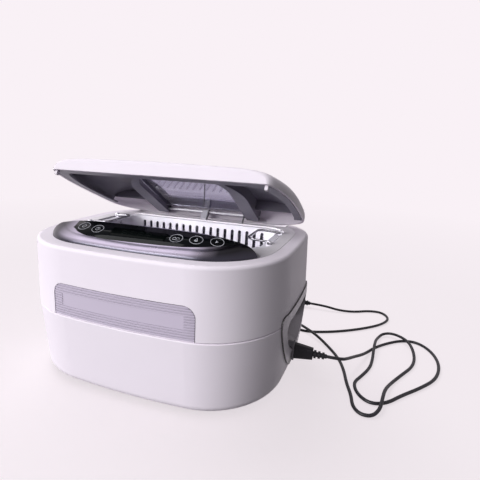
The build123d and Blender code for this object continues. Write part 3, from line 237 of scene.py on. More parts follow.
def surface_piece(name, points, body, finish, closed=False):
    """Link a mesh over a grid of points, rows by columns, in millimetres, riding on a body.

    Each face joins four neighbours of the grid; a closed grid also joins its last column
    to its first.
    """
    rows, columns = points.shape[:2]
    index = np.arange(rows * columns).reshape(rows, columns)
    if closed:
        index = np.concatenate([index, index[:, :1]], axis=1)
    corners = np.stack([index[:-1, :-1], index[:-1, 1:], index[1:, 1:], index[1:, :-1]], axis=-1)
    return mesh_piece(name, points.reshape(-1, 3), corners.reshape(-1, 4), body, finish)


def mesh_piece(name, vertices, faces, body, finish):
    """Link a mesh from points in millimetres and a table of four-cornered faces."""
    mesh = bpy.data.meshes.new(name)
    mesh.vertices.add(len(vertices))
    mesh.vertices.foreach_set("co", (vertices / 1000).astype(np.float32).ravel())
    mesh.loops.add(faces.size)
    mesh.loops.foreach_set("vertex_index", faces.astype(np.int32).ravel())
    mesh.polygons.add(len(faces))
    mesh.polygons.foreach_set("loop_start", np.arange(0, faces.size, 4, dtype=np.int32))
    mesh.polygons.foreach_set("use_smooth", np.ones(len(faces), dtype=bool))
    mesh.update(calc_edges=True)
    mesh.validate()
    mesh.materials.append(finish)
    piece = bpy.data.objects.new(name, mesh)
    bpy.context.scene.collection.objects.link(piece)
    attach(piece, body)
    return piece


def down_slope(y):
    """How far down the panel's slope a place in plan lies from its ridge."""
    return (PANEL_RIDGE_Y - y) / cos(PANEL_SLOPE)


def on_panel(across, down, lift):
    """Points on the sloping panel, from how far across and how far down the slope they lie.

    The height falls with the slope, and with the fourth power of the distance from the middle.
    """
    drop = PANEL_DROP * (np.abs(across) / PANEL_HALF_WIDTH) ** 4
    y = PANEL_RIDGE_Y - down * cos(PANEL_SLOPE)
    z = PANEL_RIDGE_Z - down * sin(PANEL_SLOPE) - drop + GLASS_LIFT + lift
    return np.stack([across, y, z], axis=-1)


def stroke(path, width, closed=False):
    """A band of even width along a flat path: the path moved half a width to each side.

    Returns the grid of its points in the flat plane, two rows by the path's points.
    """
    if closed:
        along = np.roll(path, -1, axis=0) - np.roll(path, 1, axis=0)
    else:
        along = np.gradient(path, axis=0)
    along /= np.linalg.norm(along, axis=1, keepdims=True)
    sideways = np.stack([-along[:, 1], along[:, 0]], axis=1) * width / 2
    return np.stack([path + sideways, path - sideways])


def bands(strokes):
    """Join several bands into one table of flat points and one of four-cornered faces."""
    points = []
    faces = []
    start = 0
    for grid, closed in strokes:
        columns = grid.shape[1]
        index = start + np.arange(2 * columns).reshape(2, columns)
        if closed:
            index = np.concatenate([index, index[:, :1]], axis=1)
        faces.append(np.stack([index[0, :-1], index[0, 1:], index[1, 1:], index[1, :-1]], axis=-1))
        points.append(grid.reshape(-1, 2))
        start += 2 * columns
    return np.concatenate(points), np.concatenate(faces)


def printed(name, strokes, finish, lift=0.08, depth=0.14):
    """Link flat bands as a thin print that lies on the panel's glass."""
    flat, faces = bands(strokes)
    piece = mesh_piece(name, on_panel(flat[:, 0], flat[:, 1], lift), faces, "base", finish)
    thickness = piece.modifiers.new("thickness", "SOLIDIFY")
    thickness.thickness = depth / 1000
    thickness.offset = -1.0
    return piece


def arc(centre, radii, start, stop, count=25):
    """Points round part of an ellipse, from one angle to another in degrees."""
    turn = np.radians(np.linspace(start, stop, count))
    return np.stack([centre[0] + radii[0] * np.cos(turn), centre[1] + radii[1] * np.sin(turn)],
                    axis=1)


def ring(centre, radii, count=48):
    """Points once round an ellipse, without the last that would repeat the first."""
    return arc(centre, radii, 0, 360, count + 1)[:-1]


def straight(start, stop, count=4):
    """Evenly spaced points from one place to another."""
    share = np.linspace(0, 1, count)[:, None]
    return np.array(start) * (1 - share) + np.array(stop) * share


# Settings

class CleanerCameraSettings(bpy.types.PropertyGroup):
    """Where the photograph was taken from."""
    place: bpy.props.FloatVectorProperty(
        name="Place", description="Where the camera stands", subtype="TRANSLATION",
        unit="LENGTH", default=(0.20587, -0.38678, 0.25164))
    yaw: bpy.props.FloatProperty(name="Turn", description="Turn to the left about the upright",
                                 subtype="ANGLE", default=0.320603)
    pitch: bpy.props.FloatProperty(name="Tilt", description="Tilt down from level",
                                   subtype="ANGLE", default=0.249952)
    roll: bpy.props.FloatProperty(name="Roll", description="Turn about the line of sight",
                                  subtype="ANGLE", default=0.03857)
    lens: bpy.props.FloatProperty(name="Lens", description="Focal length on a 36 mm sensor",
                                  subtype="DISTANCE_CAMERA", default=28.452)


class CleanerSizeSettings(bpy.types.PropertyGroup):
    """Sizes of the cord and of the marks on the panel."""
    cord_diameter: length_property("Cord diameter", "Outer diameter of the flex", 0.0036)
    cord_length: length_property("Cord length", "Real length of the flex", 1.442)
    ring_width: length_property("Key ring width", "Outer width of a key's printed ring", 0.0134)
    ring_depth: length_property("Key ring depth", "Outer depth of a key's printed ring", 0.0112)
    line: length_property("Printed line", "Width of the printed lines", 0.0005)
    display_width: length_property("Display width", "Width of the display window", 0.062)


class CleanerColourSettings(bpy.types.PropertyGroup):
    """Colours of the finishes."""
    housing: colour_property("Housing", "White moulded housing", srgb(243, 234, 246))
    label: colour_property("Label plate", "Ribbed plate on the front", srgb(198, 188, 208))
    deck: colour_property("Deck", "Plate round the tank", srgb(222, 217, 224))
    # The bezel colour is its silver lacquer and also the bright of a painted highlight; the next
    # colour is a painted dark reflection for its ends and painted shade for its foot.
    bezel: colour_property("Bezel", "Metallic panel surround", srgb(224, 216, 238))
    bezel_painted_dark: colour_property("Bezel ends", "Its darker ends and foot", srgb(36, 35, 44))
    glass: colour_property("Glass", "Black touch glass", srgb(9, 11, 14))
    print_ink: colour_property("Print", "Ink of the key rings", srgb(176, 176, 186))
    stainless: colour_property("Stainless", "Tank and wire", srgb(214, 212, 220))
    basket: colour_property("Basket", "White slotted basket", srgb(230, 226, 236))
    liner: colour_property("Liner", "Dark inner side of the lid", srgb(108, 104, 117))
    pane: colour_property("Pane", "Smoked window", srgb(154, 151, 171))
    flex: colour_property("Flex", "Black cord and plug", srgb(22, 21, 27))


class CleanerStageSettings(bpy.types.PropertyGroup):
    """Light and background."""
    background: colour_property("Background", "Pale backdrop", srgb(249, 241, 246))
    floor: colour_property("Floor", "Pale table top", srgb(249, 241, 246))
    key_strength: bpy.props.FloatProperty(name="Key light", description="Strength of the key light",
                                          default=3.3, min=0)
    fill_strength: bpy.props.FloatProperty(name="Fill light", default=7.0, min=0,
                                           description="Strength of the light under the lid")
    back_strength: bpy.props.FloatProperty(name="Back light", default=0.88, min=0,
                                           description="Strength of the light from behind")
    ambient: bpy.props.FloatProperty(name="Ambient", description="Level of the light all round",
                                     default=0.2, min=0)
    floor_glow: bpy.props.FloatProperty(name="Floor level", default=1.46, min=0,
                                        description="Even light of the floor under its shadows")


# Operators

class CLEANER_OT_camera(bpy.types.Operator):
    """Place the camera at the photograph's viewpoint"""
    bl_idname = "cleaner.camera"
    bl_label = "Camera"

    def execute(self, context):
        view = context.scene.cleaner_camera
        forward = Vector((-sin(view.yaw) * cos(view.pitch), cos(view.yaw) * cos(view.pitch),
                          -sin(view.pitch)))
        level = Vector((cos(view.yaw), sin(view.yaw), 0))
        upright = level.cross(forward)
        right = level * cos(view.roll) + upright * sin(view.roll)
        up = upright * cos(view.roll) - level * sin(view.roll)
        lens = bpy.data.cameras.new("photo_camera")
        lens.sensor_width = 36
        lens.lens = view.lens
        lens.clip_start = 0.01
        lens.dof.use_dof = False
        camera = bpy.data.objects.new("photo_camera", lens)
        context.scene.collection.objects.link(camera)
        turned = Matrix((right, up, -forward)).transposed().to_4x4()
        camera.matrix_world = Matrix.Translation(view.place) @ turned
        context.scene.camera = camera
        return {"FINISHED"}


class CLEANER_OT_cord(bpy.types.Operator):
    """Lay the power cord, with its connector, sleeve and mains plug"""
    bl_idname = "cleaner.cord"
    bl_label = "Power cord"

    def execute(self, context):
        sizes = context.scene.cleaner_sizes
        colour = context.scene.cleaner_colours.flex
        soft = Finish("flex_soft_vinyl", IOR=1.5, Specular_IOR_Level=0.3)
        soft.colours(soft.noise(70.0, 4.0), shade(colour, 0.75), shade(colour, 1.25))
        soft.roughness(soft.noise(300.0), 0.38, 0.52)
        soft.bump(soft.noise(1800.0), 0.00002)
        hard = moulded("plug_black_vinyl", colour, 0.46, 0.00004, 0.2, 0.25)
        line = bpy.data.curves.new("power_cord", "CURVE")
        line.dimensions = "3D"
        spline = line.splines.new("NURBS")
        route = np.array(CORD_ROUTE, dtype=np.float32) / 1000
        spline.points.add(len(route) - 1)
        spline.points.foreach_set("co", np.c_[route, np.ones(len(route))].astype(np.float32).ravel())
        spline.order_u = 3
        spline.use_endpoint_u = True
        spline.resolution_u = 8
        line.bevel_depth = sizes.cord_diameter / 2
        line.bevel_resolution = 4
        line.use_fill_caps = True
        line.materials.append(soft.material)
        cord = bpy.data.objects.new("power_cord", line)
        context.scene.collection.objects.link(cord)
        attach(cord, "base")
        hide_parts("cord")
        dress(hard, "power_connector", "strain_relief", "mains_plug")
        dress(cast_metal("plated_pins", srgb(206, 202, 196), 0.25), "plug_pins")
        return {"FINISHED"}


class CLEANER_OT_housing(bpy.types.Operator):
    """Finish the two housing shells, the hand grips, the feet and the screws"""
    bl_idname = "cleaner.housing"
    bl_label = "Housing"

    def execute(self, context):
        colour = context.scene.cleaner_colours.housing
        dress(moulded("housing_white", colour, 0.44, shine=0.12), "upper_shell")
        # The lower shell takes the housing colour 2 % darker: painted shade below the upper shell.
        dress(moulded("housing_white_lower_painted_shade", shade(colour, 0.98), 0.42, shine=0.3), "lower_shell")
        # The grips take the housing colour a fifth darker as painted shade, and their pockets are
        # painted near black as painted shade where occlusion finds them.
        grip = Finish("grip_white_painted_shade", IOR=1.46, Specular_IOR_Level=0.4)
        pocket_shade = grip.node("ShaderNodeAmbientOcclusion", Distance=0.03)
        grip.colours(pocket_shade.outputs["AO"], shade(colour, 0.04), shade(colour, 0.8), 0.74, 0.98)
        grip.roughness(grip.noise(60.0, 5.0), 0.36, 0.46)
        grip.bump(grip.noise(1400.0, 2.0), 0.00003)
        dress(grip.material, "grip_right", "grip_left")
        dress(moulded("feet_black_rubber", srgb(28, 28, 30), 0.62, 0.00006, 0.15), "rubber_feet")
        dress(cast_metal("zinc_screws", srgb(176, 176, 180)), "housing_screws")
        return {"FINISHED"}


class CLEANER_OT_label_plate(bpy.types.Operator):
    """Finish the ribbed plate on the front, with its bare middle field"""
    bl_idname = "cleaner.label_plate"
    bl_label = "Label plate"

    def execute(self, context):
        colour = context.scene.cleaner_colours.label
        finish = Finish("label_satin_lilac_painted_groove_shade", Metallic=0.1, IOR=1.46)
        # Occlusion paints shade into the grooves between the ridges and round the plate's edge.
        groove_shade = finish.node("ShaderNodeAmbientOcclusion", Distance=0.0014)
        finish.colours(groove_shade.outputs["AO"], shade(colour, 0.45), colour, 0.45, 0.92)
        finish.roughness(finish.noise(220.0), 0.3, 0.42)
        finish.bump(finish.noise(900.0, 2.0, (1.0, 1.0, 4.0)), 0.00002)
        dress(finish.material, "label_band")
        # A dark strip of painted shadow along the plate's right side and top, where the plate's edge
        # stands in shade.
        edge = moulded("label_edge_painted_shadow", shade(colour, 0.3), 0.6)
        surface_piece("label_edge_painted_shadow_strip", self.shadow_strip_points(), "base", edge, True)
        return {"FINISHED"}

    # The plate's outline: half its width, its foot on the seam, its top and its corner
    HALF_WIDTH = 77.0
    SEAM_Z = 79.4
    TOP_Z = 113.5
    CORNER = 12.0

    # The housing's front wall: its two arcs, where they meet, and how much wider it is low down,
    # which it loses between two heights
    FLARE_Z = 79.0
    SHOULDER_Z = 150.0
    WALL_RADIUS = 820.0
    WALL_CORNER = 84.0
    WALL_TURN_X = 65.8
    WALL_FLARE = 2.3

    # The painted shadow strip: its radius, how far it lies inside the outline and how far behind the
    # wall
    SHADOW_STRIP = 0.62
    SHADOW_STRIP_INSET_X = 0.5
    SHADOW_STRIP_INSET_Z = 0.4
    SHADOW_STRIP_SUNK = 0.45

    def wall_y(self, x, z):
        """The housing's front wall: arcs about two centres, wider towards the seam."""
        rise = (z - self.FLARE_Z) / (self.SHOULDER_Z - self.FLARE_Z)
        flare = self.WALL_FLARE * (1 - rise)
        front = FRONT_CENTRE_Y - np.sqrt((self.WALL_RADIUS + flare) ** 2 - x ** 2)
        beside = np.clip(x - CORNER_CENTRE[0], 0, None)
        corner = CORNER_CENTRE[1] - np.sqrt((self.WALL_CORNER + flare) ** 2 - beside ** 2)
        return np.where(x < self.WALL_TURN_X, front, corner)

    def shadow_strip_points(self):
        """A thin round dark strip of painted shadow up the plate's right side, round its corner and
        along its top.

        It thins out to the left, and closes to a point at both ends.
        """
        turn = np.linspace(0, pi / 2, 13)
        x = np.concatenate([np.full(12, self.HALF_WIDTH),
                            self.HALF_WIDTH - self.CORNER * (1 - np.cos(turn)),
                            np.linspace(self.HALF_WIDTH - self.CORNER, 0, 24)[1:]])
        z = np.concatenate([np.linspace(self.SEAM_Z, self.TOP_Z - self.CORNER, 13)[:-1],
                            self.TOP_Z - self.CORNER * (1 - np.sin(turn)),
                            np.full(23, self.TOP_Z)])
        path = np.stack([x - self.SHADOW_STRIP_INSET_X, self.wall_y(x, z) + self.SHADOW_STRIP_SUNK,
                         z - self.SHADOW_STRIP_INSET_Z], axis=-1)
        along = np.gradient(path, axis=0)
        along /= np.linalg.norm(along, axis=1, keepdims=True)
        outward = np.stack([x * 0.12, np.full_like(x, -1.0), 0 * x], axis=-1)
        beside = np.cross(along, outward)
        beside /= np.linalg.norm(beside, axis=1, keepdims=True)
        outward = np.cross(beside, along)
        radius = self.SHADOW_STRIP * np.clip(np.linspace(1.05, 0.05, len(x)), 0, 1)
        radius[[0, -1]] = 0
        angle = np.linspace(0, 2 * pi, 9)[:-1]
        round_it = (beside[:, None] * np.cos(angle)[:, None] +
                    outward[:, None] * np.sin(angle)[:, None])
        return path[:, None] + radius[:, None, None] * round_it


class CLEANER_OT_panel(bpy.types.Operator):
    """Lay the black glass on the control panel, and finish what lies under it"""
    bl_idname = "cleaner.panel"
    bl_label = "Control panel"

    # The glass's front edge in plan, left to right, and its straight rear edge
    GLASS_FRONT = ((-79.5, -75.5), (-75.7, -80.5), (-64.5, -85.5), (-52.0, -88.6),
                   (-36.8, -89.9), (-7.5, -89.5), (33.9, -88.1), (52.5, -86.6), (71.8, -82.2),
                   (89.4, -75.2), (97.0, -71.0))
    GLASS_REAR_Y = -68.0
    GLASS_COLUMNS = 89
    GLASS_SMOOTHING = 7

    def glass_outline(self):
        """Front and rear edge of the glass on the slope; a running mean rounds the front one."""
        across = np.linspace(self.GLASS_FRONT[0][0], self.GLASS_FRONT[-1][0], self.GLASS_COLUMNS)
        front = np.interp(across, *np.transpose(self.GLASS_FRONT))
        padded = np.pad(front, self.GLASS_SMOOTHING // 2, mode="edge")
        share = np.full(self.GLASS_SMOOTHING, 1 / self.GLASS_SMOOTHING)
        front = np.convolve(padded, share, mode="valid")
        rear = np.full(self.GLASS_COLUMNS, self.GLASS_REAR_Y)
        return np.stack([np.stack([across, down_slope(y)], axis=1) for y in (front, rear)])

    def execute(self, context):
        colours = context.scene.cleaner_colours
        glass = Finish("touch_glass_black", IOR=1.3, Specular_IOR_Level=0.1)
        glass.colours(glass.noise(14.0, 3.0), shade(colours.glass, 0.85), shade(colours.glass, 1.2))
        glass.roughness(glass.noise(90.0, 5.0), 0.04, 0.1)
        dress(glass.material, "touch_glass")
        sheet = printed("glass_sheet", [(self.glass_outline(), False)], glass.material,
                        0.0, 0.08)
        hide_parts("touch_glass")
        board = Finish("circuit_board_green", IOR=1.5)
        board.colours(board.noise(400.0, 2.0, (6.0, 1.0, 1.0)), srgb(18, 58, 40), srgb(30, 84, 58))
        board.roughness(board.noise(120.0), 0.35, 0.5)
        dress(board.material, "touch_board", "driver_board")
        dress(moulded("display_dark_body", srgb(30, 34, 34), 0.4), "display_module")
        return {"FINISHED"}


class CLEANER_OT_bezel(bpy.types.Operator):
    """Form the panel's metallic surround, with its rim rounded down to the deck"""
    bl_idname = "cleaner.bezel"
    bl_label = "Bezel"

    # The grid, and the rounded rim: its width in the middle, how much it widens by a distance
    # across, and the power of its curve
    COLUMNS = 161
    ROWS = 49
    RIM = 9.0
    RIM_SPREAD = 3.4
    RIM_SPREAD_X = 95.0
    RIM_POWER = 1.8

    def plane(self, x, y):
        """Height of the sloping top: level along the ridge, falling to the front, and to both
        ends by a fourth power."""
        drop = PANEL_DROP * (np.abs(x) / PANEL_HALF_WIDTH) ** 4
        ahead = np.minimum(y - PANEL_RIDGE_Y, -1.0)
        return PANEL_RIDGE_Z + ahead * np.tan(PANEL_SLOPE) - drop

    def outline(self, x):
        """Front edge of the outline: the front arc in the middle, a corner arc to each side."""
        across = np.abs(x)
        front = FRONT_CENTRE_Y - np.sqrt(FRONT_RADIUS ** 2 - across ** 2)
        beside = np.clip(across - CORNER_CENTRE[0], 0, CORNER_RADIUS)
        corner = CORNER_CENTRE[1] - np.sqrt(CORNER_RADIUS ** 2 - beside ** 2)
        return np.where(across <= 64.6, front, corner)

    def top(self):
        """Points of the top, and how far into the rounded rim each lies, from 0 to 1.

        A point's distance from the outline is measured to the centre of the arc it faces.
        Inside the rim the height follows a rounded curve from the edge up to the plane.
        """
        turn = np.linspace(-pi / 2, pi / 2, self.COLUMNS)
        share = np.linspace(0, 1, self.ROWS)[:, None] ** 1.7
        x = np.broadcast_to(PANEL_TIP_X * np.sin(turn), (self.ROWS, self.COLUMNS))
        front = self.outline(x)
        y = front + (PANEL_REAR_Y - front) * share
        side = np.sign(x) + (x == 0)
        slant = CORNER_CENTRE[0] / (FRONT_CENTRE_Y - CORNER_CENTRE[1])
        corner = np.abs(x) > slant * (FRONT_CENTRE_Y - y)
        centre_x = np.where(corner, side * CORNER_CENTRE[0], 0.0)
        centre_y = np.where(corner, CORNER_CENTRE[1], FRONT_CENTRE_Y)
        radius = np.where(corner, CORNER_RADIUS, FRONT_RADIUS)
        reach = np.hypot(x - centre_x, y - centre_y)
        inside = np.clip(radius - reach, 0, None)
        rim = self.RIM + self.RIM_SPREAD * (x / self.RIM_SPREAD_X) ** 2
        into = np.clip(inside / rim, 0, 1)
        ahead = (rim - inside) / reach
        level = self.plane(x + (centre_x - x) * ahead, y + (centre_y - y) * ahead)
        curve = (1 - (1 - into) ** self.RIM_POWER) ** (1 / self.RIM_POWER)
        rounded = PANEL_EDGE_Z + (level - PANEL_EDGE_Z) * curve
        z = np.where(into < 1, rounded, self.plane(x, y))
        return np.stack([x, y, z], axis=-1), into

    def lacquer(self, colours):
        """Metallic lacquer with painted reflections: a painted highlight in the middle, painted dark
        reflections at both ends and painted shade along its foot.
        """
        finish = Finish("bezel_lacquer_painted_reflections", Metallic=0.8, Coat_Weight=0.15,
                        Coat_Roughness=0.1)
        parts = finish.node("ShaderNodeSeparateXYZ")
        finish.link(finish.place, parts.inputs[0])
        along = finish.spread(parts.outputs["X"], 0.0, 1.0, -PANEL_TIP_X / 1000,
                              PANEL_TIP_X / 1000)
        highlight, dark = colours.bezel[:], colours.bezel_painted_dark[:]
        finish.colours(along, shade(dark, 1.4), shade(dark, 0.3), 0.02, 0.92)
        ramp = finish.tree.nodes["Color Ramp"]
        # Painted reflections along the bezel: a painted highlight in the middle, painted dark
        # reflections towards both ends.
        for place, colour in ((0.1, shade(highlight, 0.1)), (0.17, shade(highlight, 0.6)),
                              (0.26, highlight), (0.68, highlight), (0.76, shade(highlight, 0.8)),
                              (0.82, shade(highlight, 0.2)), (0.87, shade(dark, 0.5))):
            ramp.color_ramp.elements.new(place).color = colour
        # How far into the rounded rim a point lies paints shade along the bezel's foot.
        edge = finish.node("ShaderNodeAttribute")
        edge.attribute_name = "rim"
        foot = finish.spread(edge.outputs["Fac"], 1.0, 0.0, 0.04, 0.3)
        foot_shade_mix = finish.tree.nodes.new("ShaderNodeMix")
        foot_shade_mix.data_type = "RGBA"
        foot_shade_mix.inputs["B"].default_value = shade(dark, 1.5)
        finish.link(foot, foot_shade_mix.inputs["Factor"])
        finish.link(ramp.outputs["Color"], foot_shade_mix.inputs["A"])
        finish.link(foot_shade_mix.outputs["Result"], finish.shader.inputs["Base Color"])
        finish.roughness(finish.noise(45.0, 4.0), 0.26, 0.34)
        finish.bump(finish.noise(2600.0, 2.0), 0.000002)
        return finish.material

    def execute(self, context):
        top, into = self.top()
        foot = top[:1].copy()
        foot[..., 2] = PANEL_FOOT_Z
        rear = top[-1:].copy()
        rear[..., 2] = PANEL_FOOT_Z
        points = np.concatenate([foot, top, rear])
        bezel = surface_piece("panel_bezel", points, "base",
                              self.lacquer(context.scene.cleaner_colours))
        rim = np.concatenate([into[:1] * 0, into, into[-1:]])
        stored = bezel.data.attributes.new("rim", "FLOAT", "POINT")
        stored.data.foreach_set("value", rim.astype(np.float32).ravel())
        thickness = bezel.modifiers.new("thickness", "SOLIDIFY")
        thickness.thickness = 0.0018
        thickness.offset = -1.0
        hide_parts("control_bezel")
        return {"FINISHED"}


class CLEANER_OT_key_marks(bpy.types.Operator):
    """Print the five key rings with plain pictograms and the unlit display on the glass"""
    bl_idname = "cleaner.key_marks"
    bl_label = "Key marks"

    # Keys, left to right: place across, and distance from the front in plan
    KEYS = ((-67.0, -75.5), (-48.7, -77.8), (40.0, -77.6), (60.0, -76.0), (80.0, -73.5))
    DISPLAY = (-1.0, -78.5)

    def pictograms(self, line):
        """Strokes of the five pictograms: power, clock, waves, drop and arrow."""
        (x1, y1), (x2, y2), (x3, y3), (x4, y4), (x5, y5) = [(x, down_slope(y)) for x, y in self.KEYS]
        power = [(stroke(arc((x1, y1), (2.1, 2.0), -60, 240), line), False),
                 (stroke(straight((x1, y1 - 2.6), (x1, y1 - 0.4)), line), False)]
        clock = [(stroke(ring((x2, y2), (2.3, 2.1), 24), line * 0.8, True), True),
                 (stroke(straight((x2, y2 + 0.1), (x2, y2 - 1.4)), line * 0.8), False),
                 (stroke(straight((x2, y2), (x2 + 1.2, y2 + 0.5)), line * 0.8), False)]
        waves = [(stroke(arc((x3 + side * 1.7, y3 + 1.2), (1.7, 2.2), 180, 360, 12), line), False)
                 for side in (-1, 1)]
        waves.append((stroke(straight((x3 - 3.2, y3 + 2.2), (x3 + 3.2, y3 + 2.2)), line), False))
        drop = [(stroke(arc((x4, y4 + 0.4), (1.2, 1.1), 0, 180, 12), 1.6), False),
                (stroke(straight((x4 - 1.2, y4 + 0.4), (x4, y4 - 2.6)), line), False),
                (stroke(straight((x4 + 1.2, y4 + 0.4), (x4, y4 - 2.6)), line), False)]
        arrow = [(np.stack([straight((x5 - 1.3, y5 - 1.6), (x5 + 1.6, y5)),
                            straight((x5 - 1.3, y5 + 1.6), (x5 + 1.6, y5 + 0.02))]), False)]
        return power + clock + waves + drop + arrow

    def digit(self, x, y):
        """The seven segments of one unlit figure, each a short band."""
        wide, tall = 2.3, 2.6
        places = [((x - wide, y + row * tall), (x + wide, y + row * tall)) for row in (-1, 0, 1)]
        for side in (-1, 1):
            for row in (-1, 0):
                places.append(((x + side * (wide + 0.45), y + row * tall + 0.4),
                               (x + side * (wide + 0.45), y + (row + 1) * tall - 0.4)))
        return [(stroke(straight(start, stop), 0.7), False) for start, stop in places]

    def execute(self, context):
        sizes = context.scene.cleaner_sizes
        colours = context.scene.cleaner_colours
        ink = Finish("key_ink_pale", IOR=1.45)
        ink.colours(ink.noise(800.0), shade(colours.print_ink, 0.88), colours.print_ink[:])
        ink.roughness(ink.noise(500.0), 0.4, 0.55)
        line = sizes.line * 1000
        radii = (sizes.ring_width * 500 - line / 2, sizes.ring_depth * 500 - line / 2)
        rings = [(stroke(ring((x, down_slope(y)), radii), line, True), True) for x, y in self.KEYS]
        printed("key_rings", rings, ink.material)
        printed("key_pictograms", self.pictograms(line), ink.material)
        dark = Finish("display_window_dark", IOR=1.2, Specular_IOR_Level=0.05)
        dark.colours(dark.noise(40.0), srgb(3, 6, 6), srgb(5, 8, 8))
        dark.roughness(dark.noise(200.0), 0.1, 0.2)
        x, y = self.DISPLAY[0], down_slope(self.DISPLAY[1])
        half = sizes.display_width * 500
        edge = np.linspace(-half, half, 33)
        window = np.stack([np.stack([x + edge, np.full(33, y - 5.4)], axis=1),
                           np.stack([x + edge, np.full(33, y + 5.4)], axis=1)])[::-1]
        printed("display_window", [(window, False)], dark.material, 0.04, 0.12)
        unlit = Finish("display_unlit_segments", IOR=1.2, Specular_IOR_Level=0.1)
        unlit.colours(unlit.noise(300.0), srgb(14, 18, 18), srgb(19, 24, 24))
        unlit.roughness(unlit.noise(300.0), 0.2, 0.3)
        figures = [band for place in (-15.0, -7.0, 3.0, 11.0) for band in self.digit(x + place, y)]
        figures += [(stroke(straight((x - 2.4, y + side), (x - 1.6, y + side)), 0.8), False)
                    for side in (-1.2, 1.2)]
        printed("display_figures", figures, unlit.material, 0.1, 0.12)
        return {"FINISHED"}


class CLEANER_OT_tank(bpy.types.Operator):
    """Finish the deck, the stainless tank, the slotted basket and its wire handles"""
    bl_idname = "cleaner.tank"
    bl_label = "Deck, tank and basket"

    def execute(self, context):
        colours = context.scene.cleaner_colours
        dress(moulded("deck_white", colours.deck, 0.4), "deck")
        dress(sheet_metal("tank_stainless", shade(colours.stainless, 0.4)), "tank")
        dress(moulded("gasket_silicone", srgb(196, 196, 198), 0.55), "tank_gasket")
        dress(moulded("basket_white", colours.basket, 0.38), "basket")
        dress(polished("handle_wire", shade(colours.stainless, 0.5), 0.25),
              "basket_handle_right", "basket_handle_left")
        return {"FINISHED"}


class CLEANER_OT_lid(bpy.types.Operator):
    """Finish the lid's shell, liner, window arch and pane, and add a thin dark bar slanting under the
    pane
    """
    bl_idname = "cleaner.lid"
    bl_label = "Lid"

    BAR_FRONT = (28.6, 84.0)
    BAR_REAR = (2.1, 16.2)
    BAR_SECTION = ((-0.5, 0.05), (-0.5, -1.3), (0.5, -1.3), (0.5, 0.05))

    # Rear wall of each liner half: where it stands, its reach, and the dome's curve over it
    STEP_AHEAD = 25.0
    STEP_REACH = (75.2, 130.6)
    STEP_BOTTOM = 3.5
    STEP_CURVE = ((73.0, 17.2), (95.0, 15.8), (115.5, 13.2), (124.0, 10.5), (130.7, 5.6))

    def step_points(self, side):
        """A wall across the lid, from an even level up to the inside of the dome's curve."""
        across = np.linspace(*self.STEP_REACH, 36)
        curve = np.array(self.STEP_CURVE)
        top = np.interp(across, curve[:, 0], curve[:, 1])
        level = self.STEP_BOTTOM + (top - self.STEP_BOTTOM) * np.linspace(0, 1, 9)[:, None]
        x = np.broadcast_to(side * across, level.shape)[:, ::side]
        level = level[:, ::side]
        y = HINGE_Y - self.STEP_AHEAD * cos(LID_OPEN) + level * sin(LID_OPEN)
        z = HINGE_Z + self.STEP_AHEAD * sin(LID_OPEN) + level * cos(LID_OPEN)
        return np.stack([x, y, z], axis=-1)

    def bar_points(self):
        """The bar's section carried along a straight line under the pane, closed at both ends."""
        share = np.clip(np.linspace(-0.05, 1.05, 22), 0, 1)[:, None]
        section = np.array(self.BAR_SECTION)
        full = np.ones((22, 1))
        full[[0, -1]] = 0
        middle = self.BAR_REAR[0] * (1 - share) + self.BAR_FRONT[0] * share
        across = middle + section[:, 0] * full
        ahead = self.BAR_REAR[1] * (1 - share) + self.BAR_FRONT[1] * share + 0 * across
        level = PANE_LEVEL + section[:, 1] * full
        return np.stack([across, HINGE_Y - ahead * cos(WINDOW_OPEN) + level * sin(WINDOW_OPEN),
                         HINGE_Z + ahead * sin(WINDOW_OPEN) + level * cos(WINDOW_OPEN)], axis=-1)

    def execute(self, context):
        colours = context.scene.cleaner_colours
        dress(moulded("lid_white", shade(colours.housing, 0.92), 0.44, shine=0.12), "lid_shell")
        dress(moulded("bumper_white", shade(colours.housing, 0.8), 0.5), "lid_bumpers")
        liner = moulded("lid_liner_grey", colours.liner, 0.45, 0.00004, 0.06)
        dress(liner, "lid_liner_right", "lid_liner_left", "window_frame")
        pane = Finish("pane_smoked_lilac", Transmission_Weight=1.0, IOR=1.3)
        pane.colours(pane.noise(6.0, 3.0), shade(colours.pane, 0.94), shade(colours.pane, 1.04))
        pane.roughness(pane.noise(80.0, 5.0), 0.02, 0.07)
        dress(pane.material, "window_pane")
        surface_piece("pane_dark_bar", self.bar_points(), "lid", liner, True)
        for side, name in ((-1, "left"), (1, "right")):
            wall = surface_piece("liner_step_" + name, self.step_points(side), "lid", liner)
            thickness = wall.modifiers.new("thickness", "SOLIDIFY")
            thickness.thickness = 0.0016
            thickness.offset = -1.0
        return {"FINISHED"}


class CLEANER_OT_hinge(bpy.types.Operator):
    """Finish the hinge rod and its two holders"""
    bl_idname = "cleaner.hinge"
    bl_label = "Hinge"

    def execute(self, context):
        dress(moulded("hinge_rod_grey", srgb(190, 187, 196), 0.4), "hinge_rod")
        dress(polished("hinge_steel", srgb(120, 118, 124), 0.4), "hinge_stay")
        dress(moulded("clip_grey", srgb(150, 147, 156), 0.42), "hinge_clip")
        return {"FINISHED"}


